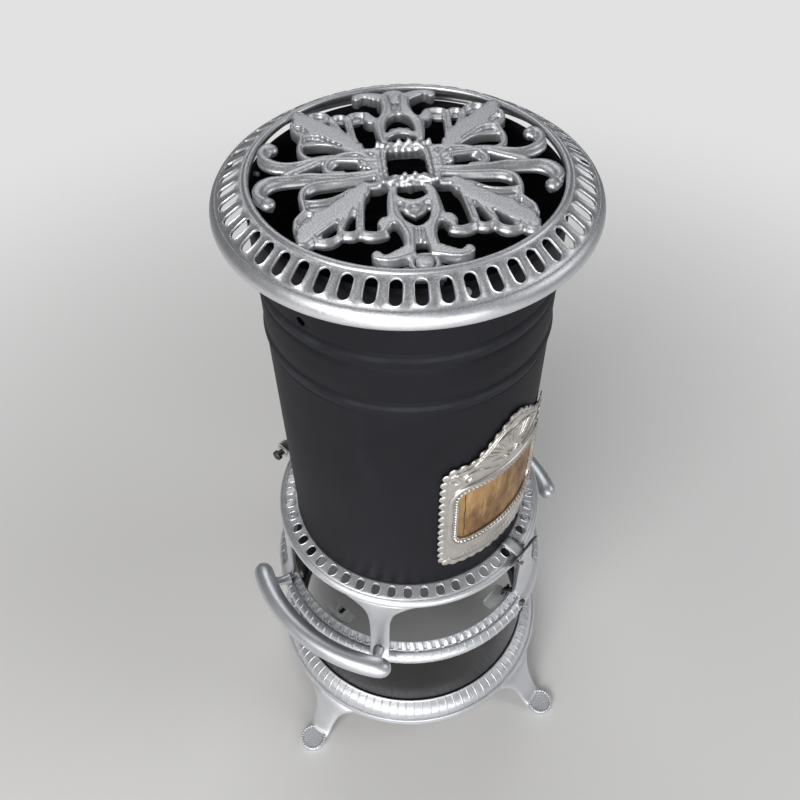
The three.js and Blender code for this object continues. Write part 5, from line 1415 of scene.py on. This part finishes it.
def make_crack():
    """Raised flake edge down the left of the mica."""
    shape = bmesh.new()
    run = [(-41.6, 65), (-41.2, 78), (-41.9, 90), (-41.4, 104), (-42.2, 116), (-41.8, 121)]
    swept(shape, face_frames(smoothed(run, 3), 0.22, -0.9, -0.1), FLAT_SECTION)
    bent(shape)
    return finished("mica_split", shape, "drum", "black", (), 40)


# ------------------------------------------------------------------ screws, hinge and catch
def node_place(node):
    """Azimuth in degrees and height in millimetres of a CAD piece's middle."""
    low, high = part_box(node)
    middle = (low + high) / 2
    return math.degrees(math.atan2(middle.x, -middle.y)), middle.z / MM


def make_screw(node, radius, height, seat, body, finish, turn):
    """Screw head standing on a wall of a given radius."""
    shape = bmesh.new()
    slotted_head(shape, facing(seat, *node_place(node)), radius, height, turn, radius * 0.45, 5)
    return finished(node + "_head", shape, body, finish, (node,), 35)


def make_catch_leaf():
    """Spring leaf with its foot under the gallery's lower ring, and a plate at the screw."""
    width, azimuth = 6.0, 5
    run = [(112.6, 181.9), (112.6, 189.0), (113.6, 191.0), (123.4, 199.6), (123.6, 201.0),
           (123.6, 230.0), (123.6, 259.6), (124.1, 261.2), (124.4, 261.7)]
    across = facing(0, azimuth, 0).to_3x3().col[0].copy()
    leaf = bmesh.new()
    edges = chain(leaf, [spot(r, azimuth, z) - across * width / 2 * MM for r, z in run])

    def over(point):
        point.co += across * width * MM

    grow(leaf, edges, over)
    block(leaf, (0, 178.0, 113.1), (12.6, 11, 0.9), facing(0, SCREW_AZIMUTH, 0), 0.3)
    towards(leaf, outwards)
    return finished("catch_spring_leaf", leaf, "catch", "slate", ("catch_leaf",), 40, wall=0.8)


def make_thumb_plate():
    """Plate that flares out from a pointed foot, slightly hollow."""
    # azimuth, radius, height
    low = [(-3.2, 124.4, 268.4), (0.4, 124.4, 262.6), (4.6, 124.4, 259.0), (8.4, 124.5, 262.2),
           (11.4, 125.4, 268.6), (12.9, 128.0, 274.4)]
    high = [(-3.6, 125.0, 270.8), (0.2, 126.3, 274.2), (4.6, 127.4, 275.8), (8.2, 128.4, 276.3),
            (11.2, 129.2, 276.5), (13.2, 129.9, 276.6)]
    starts, ends = ([spot(r, a, z) for a, r, z in smoothed(line, 3)] for line in (low, high))
    plate = bmesh.new()
    edges = chain(plate, starts)
    column = plate.verts.layers.int.new("column")
    plate.verts.ensure_lookup_table()
    for k, point in enumerate(plate.verts):
        point[column] = k

    def climb(point, t):
        foot, head = starts[point[column]], ends[point[column]]
        point.co = foot.lerp(head, t)
        point.co -= outwards(point.co) * (foot - head).length * 0.10 * math.sin(math.pi * t)

    for share in (0.25, 0.5, 0.75, 1.0):
        edges = grow(plate, edges, lambda point, t=share: climb(point, t))
    towards(plate, outwards)
    return finished("catch_thumb_plate", plate, "catch", "slate", ("catch_plate",), 60, wall=1.0)


def make_catch_hook():
    """Tongue that reaches in over the gallery's rail."""
    placed = facing(0, CATCH_AZIMUTH, 0)
    profile = [(125.2, 266.6), (123.8, 270.4), (119, 272.4), (113.0, 275.0), (109.4, 276.0),
               (107.0, 275.6)]
    hook = bmesh.new()
    edges = chain(hook, [placed @ (Vector((-5.4, z, r)) * MM) for r, z in profile])

    def shift(point, x):
        local = placed.inverted() @ point.co
        point.co = placed @ Vector((x * MM, local.y, local.z))

    for across in (-2.5, 0, 2.5, 5.4):
        edges = grow(hook, edges, lambda point, x=across: shift(point, x))
    towards(hook, up_and_out)
    return finished("catch_hook", hook, "catch", "grey", ("catch_plate",), 40, wall=1.0)


def make_catch_fold():
    """Bright folded edge where the leaf meets the thumb plate."""
    fold = bmesh.new()
    block(fold, (0, 259.4, 126.4), (4.4, 1.5, 5.4), facing(0, 3.4, 0), 0.5)
    block(fold, (0, 261.0, 124.9), (5.4, 4.6, 1.0), facing(0, CATCH_AZIMUTH, 0), 0.4)
    return finished("catch_fold", fold, "catch", "nickel", ("catch_plate",), 40)


def make_catch_screw():
    head = bmesh.new()
    slotted_head(head, facing(131.6, SCREW_AZIMUTH, 177.5), 3.5, 3.0, 25, 1.9, 15)
    return finished("catch_screw_head", head, "base", "black", ("catch_screw",), 35)


def bolt_outline(r, length):
    """Threaded shank and a round head."""
    thread = [(2.9 - 0.3 * (k % 2), 0.6 + (length - 5.4) * k / 14) for k in range(1, 15)]
    head = [(r - 0.5, length - 4.7), (r, length - 4.2), (r, length - 0.8), (r - 0.6, length - 0.1),
            (2.2, length - 0.1), (1.8, length - 0.5), (0, length - 0.5)]
    return [(0, 0.1), (2.4, 0.1), (2.9, 0.6)] + thread + head


def washer_outline(r, length):
    return [(3.1, 0.1), (r - 0.3, 0.1), (r, 0.35), (r, length - 0.35), (r - 0.3, length - 0.1),
            (3.1, length - 0.1), (3.1, 0.1)]


def nut_outline(r, length):
    return [(0, 0.1), (r - 0.8, 0.1), (r, 0.6), (r, length - 0.6), (r - 0.8, length - 0.1),
            (0, length - 0.1)]


def make_turning(node, side, outline, finish, facets):
    """Bolt, washer or nut of a tilt pivot, along the CAD piece; gives its inner and outer end."""
    low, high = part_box(node)
    inner, outer = (high.x, low.x) if side < 0 else (low.x, high.x)
    middle = (low + high) / 2
    radius, length = (high.z - low.z) / 2 / MM - 0.1, abs(outer - inner) / MM
    placed = (Matrix.Translation((inner, middle.y, middle.z))
              @ Matrix.Rotation(side * math.pi / 2, 4, "Y"))
    shape = bmesh.new()
    lathed(shape, outline(radius, length), placed, facets)
    finished(node + "_dressed", shape, "base", finish, (node,), 30)
    return inner, outer


def make_ear(name, start, stop):
    """Ear of the gallery casting that holds a pivot, between two places across."""
    outline = [(104, 259.4), (114, 258.4)]
    outline += [(124 + 8.4 * math.cos(math.radians(a)), 263.7 + 8.4 * math.sin(math.radians(a)))
                for a in range(-105, 106, 15)]
    outline += [(114, 269.6), (104, 269.4)]
    ear = cut_plate([Vector((start, y * MM, z * MM)) for y, z in outline], (stop - start, 0, 0))
    tidied(ear, 1e-7)
    ease(ear, [e for e in ear.edges if abs(e.verts[0].co.x - e.verts[1].co.x) < 1e-7], 0.9)
    return finished(name, ear, "base", "smooth", ("gallery_casting",), 40)


def make_hinge():
    """Pivots that the drum tilts on, and the rivets of the strap on the drum."""
    for side, word in ((-1, "left"), (1, "right")):
        make_turning(f"hinge_bolt_{word}", side, bolt_outline, "black", 24)
        stop, _ = make_turning(f"hinge_washer_{word}", side, washer_outline, "nickel", 32)
        _, start = make_turning(f"hinge_nut_{word}", side, nut_outline, "black", 6)
        make_ear(f"hinge_ear_{word}", start, stop)
    for number in (1, 2, 3, 4):
        rivet = bmesh.new()
        lathed(rivet, [(0, -6), (1.9, -6), (1.9, 0), (3.5, 0), (3.5, 0.6), (3.1, 1.5), (2.2, 2.3),
                       (1.1, 2.7), (0, 2.8)], facing(108.2, *node_place(f"leaf_rivet_{number}")), 28)
        finished(f"hinge_rivet_{number}", rivet, "drum", "black", (f"leaf_rivet_{number}",), 35)


def dress_cad_pieces():
    """Gives every CAD piece the finish that goes with its own material; those whose shape is
    right as it is show it."""
    finish_of = {"silver_casting": "casting", "black_sheet": "sheet", "nickel": "nickel", "mica": "mica",
                 "grey_steel": "grey", "black_steel": "black"}
    for name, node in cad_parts.items():
        had = node.data.materials[0].name
        finish = next(finish for word, finish in finish_of.items() if word in had)
        if name.startswith("handle_screw"):
            finish = "nickel"
        for slot in node.material_slots:
            slot.link = "OBJECT"
            slot.material = FINISHES[finish][0]


# ------------------------------------------------------------------ room
def lay_floor():
    """Pale floor that keeps the shadow near the stove and turns to plain paleness further off."""
    shape = bmesh.new()
    bmesh.ops.create_grid(shape, x_segments=1, y_segments=1, size=6)
    mesh = bpy.data.meshes.new("floor")
    shape.to_mesh(mesh)
    shape.free()
    floor = bpy.data.objects.new("floor", mesh)
    bpy.context.scene.collection.objects.link(floor)
    b = Board("pale_floor")
    surface = b.node("ShaderNodeBsdfPrincipled", {},
                     {"Base Color": (0.80, 0.79, 0.78, 1), "Roughness": 0.8})
    pale = b.node("ShaderNodeEmission", {}, {"Color": BACKDROP})
    seen_straight = b.node("ShaderNodeLightPath", {}, {}, "Is Camera Ray")
    distance = b.node("ShaderNodeVectorMath", {"operation": "LENGTH"}, {0: b.place}, "Value")
    far = b.step(distance, 0.30, 1.30) * seen_straight
    mesh.materials.append(b.finish_with(b.node("ShaderNodeMixShader", {}, {0: far, 1: surface, 2: pale})))


def hang_lamp(name, place, aim_height, size, power, colour):
    """Soft rectangle of light; its place is set out from the camera's side of the stove."""
    light = bpy.data.lights.new(name, "AREA")
    light.shape = "RECTANGLE"
    light.size, light.size_y = size
    light.energy = power
    light.color = colour
    holder = bpy.data.objects.new(name, light)
    at = Matrix.Rotation(math.radians(CAMERA_AZIMUTH), 4, "Z") @ Vector(place)
    holder.location = at
    holder.rotation_euler = (Vector((0, 0, aim_height)) - at).to_track_quat("-Z", "Y").to_euler()
    bpy.context.scene.collection.objects.link(holder)


def light_world():
    """Faint even light, with a pale backdrop where the camera looks past the floor."""
    world = bpy.data.worlds.new("room")
    bpy.context.scene.world = world
    world.use_nodes = True
    nodes, links = world.node_tree.nodes, world.node_tree.links
    lit = nodes["Background"]
    lit.inputs["Color"].default_value = (0.80, 0.81, 0.83, 1)
    lit.inputs["Strength"].default_value = 0.11
    pale = nodes.new("ShaderNodeBackground")
    pale.inputs["Color"].default_value = BACKDROP
    chosen = nodes.new("ShaderNodeMixShader")
    links.new(nodes.new("ShaderNodeLightPath").outputs["Is Camera Ray"], chosen.inputs[0])
    links.new(lit.outputs[0], chosen.inputs[1])
    links.new(pale.outputs[0], chosen.inputs[2])
    links.new(chosen.outputs[0], nodes["World Output"].inputs["Surface"])


def set_camera():
    """Camera at the photograph's angle, solved from the stove's rings."""
    yaw, pitch, roll = 0.88, 48.69, -1.03
    view = bpy.data.cameras.new("camera")
    view.sensor_width = 36
    view.lens = 37.05
    view.clip_start = 0.01
    camera = bpy.data.objects.new("camera", view)
    camera.matrix_world = (
        Matrix.Translation((-0.3410, -0.3017, 0.9099))
        @ Matrix.Rotation(math.radians(CAMERA_AZIMUTH + yaw), 4, "Z")
        @ Matrix.Rotation(math.radians(90 - pitch), 4, "X")
        @ Matrix.Rotation(math.radians(roll), 4, "Z"))
    bpy.context.scene.collection.objects.link(camera)
    bpy.context.scene.camera = camera
    bpy.context.scene.view_settings.view_transform = "Standard"


def stage_room():
    lay_floor()
    hang_lamp("window_light", (-0.9, -1.7, 1.5), 0.42, (1.3, 1.1), 28, (1.0, 0.99, 0.97))
    hang_lamp("low_light", (0.2, -2.3, 0.62), 0.40, (2.6, 0.55), 27, (0.96, 0.98, 1.0))
    hang_lamp("fill_light", (1.9, -0.2, 1.5), 0.35, (0.9, 1.1), 9, (0.97, 0.98, 1.0))
    hang_lamp("ceiling_light", (-0.2, 1.1, 2.2), 0.5, (1.4, 0.8), 12, (0.98, 0.99, 1.0))
    light_world()
    set_camera()


# ------------------------------------------------------------------ assembly
stage_room()
dress_cad_pieces()
make_top_ring()
make_ring_lug("trivet_ledge", TRIVET_AZIMUTH)
make_ring_lug("trivet_rear_ledge", TRIVET_AZIMUTH + 180)
make_drum()
make_sleeve()
make_slotted_ring()
make_rail_skirt()
make_foot_ring()
make_foot_ledge()
for number, azimuth in enumerate(POST_AZIMUTHS, 1):
    make_post(f"gallery_post_{number}", azimuth, 9.25, 24)
make_post("gallery_panel", PANEL_AZIMUTH, 23, 36)
for number, azimuth in enumerate(LUG_AZIMUTHS, 1):
    make_lug(f"sleeve_lug_{number}", azimuth)
make_base_band()
make_base_floor()
for number, azimuth in enumerate(LEG_AZIMUTHS, 1):
    make_leg(f"base_leg_{number}", azimuth)
make_handle("handle_bar_left", "handle_left", -88.5)
make_handle("handle_bar_right", "handle_right", 88.5)
for number, azimuth in enumerate(BRACKET_AZIMUTHS, 1):
    make_bracket(f"fount_tab_{number}", f"fount_bracket_{number}", azimuth, number in (1, 3))
make_trivet()
make_pin()
make_window_plate()
make_mica()
make_crack()
make_catch_leaf()
make_thumb_plate()
make_catch_hook()
make_catch_fold()
make_catch_screw()
make_hinge()
for number in (1, 2, 3, 4):
    make_screw(f"plate_screw_{number}", 2.0, 1.1, WINDOW_RADIUS + 1.1, "drum", "nickel", 30 * number)
for number in (1, 2, 3):
    make_screw(f"ring_screw_{number}", 3.5, 2.0, 105.4, "drum", "grey", 25 * number)
    make_screw(f"sleeve_screw_{number}", 3.5, 3.0, 129.4, "base", "black", 40 * number)
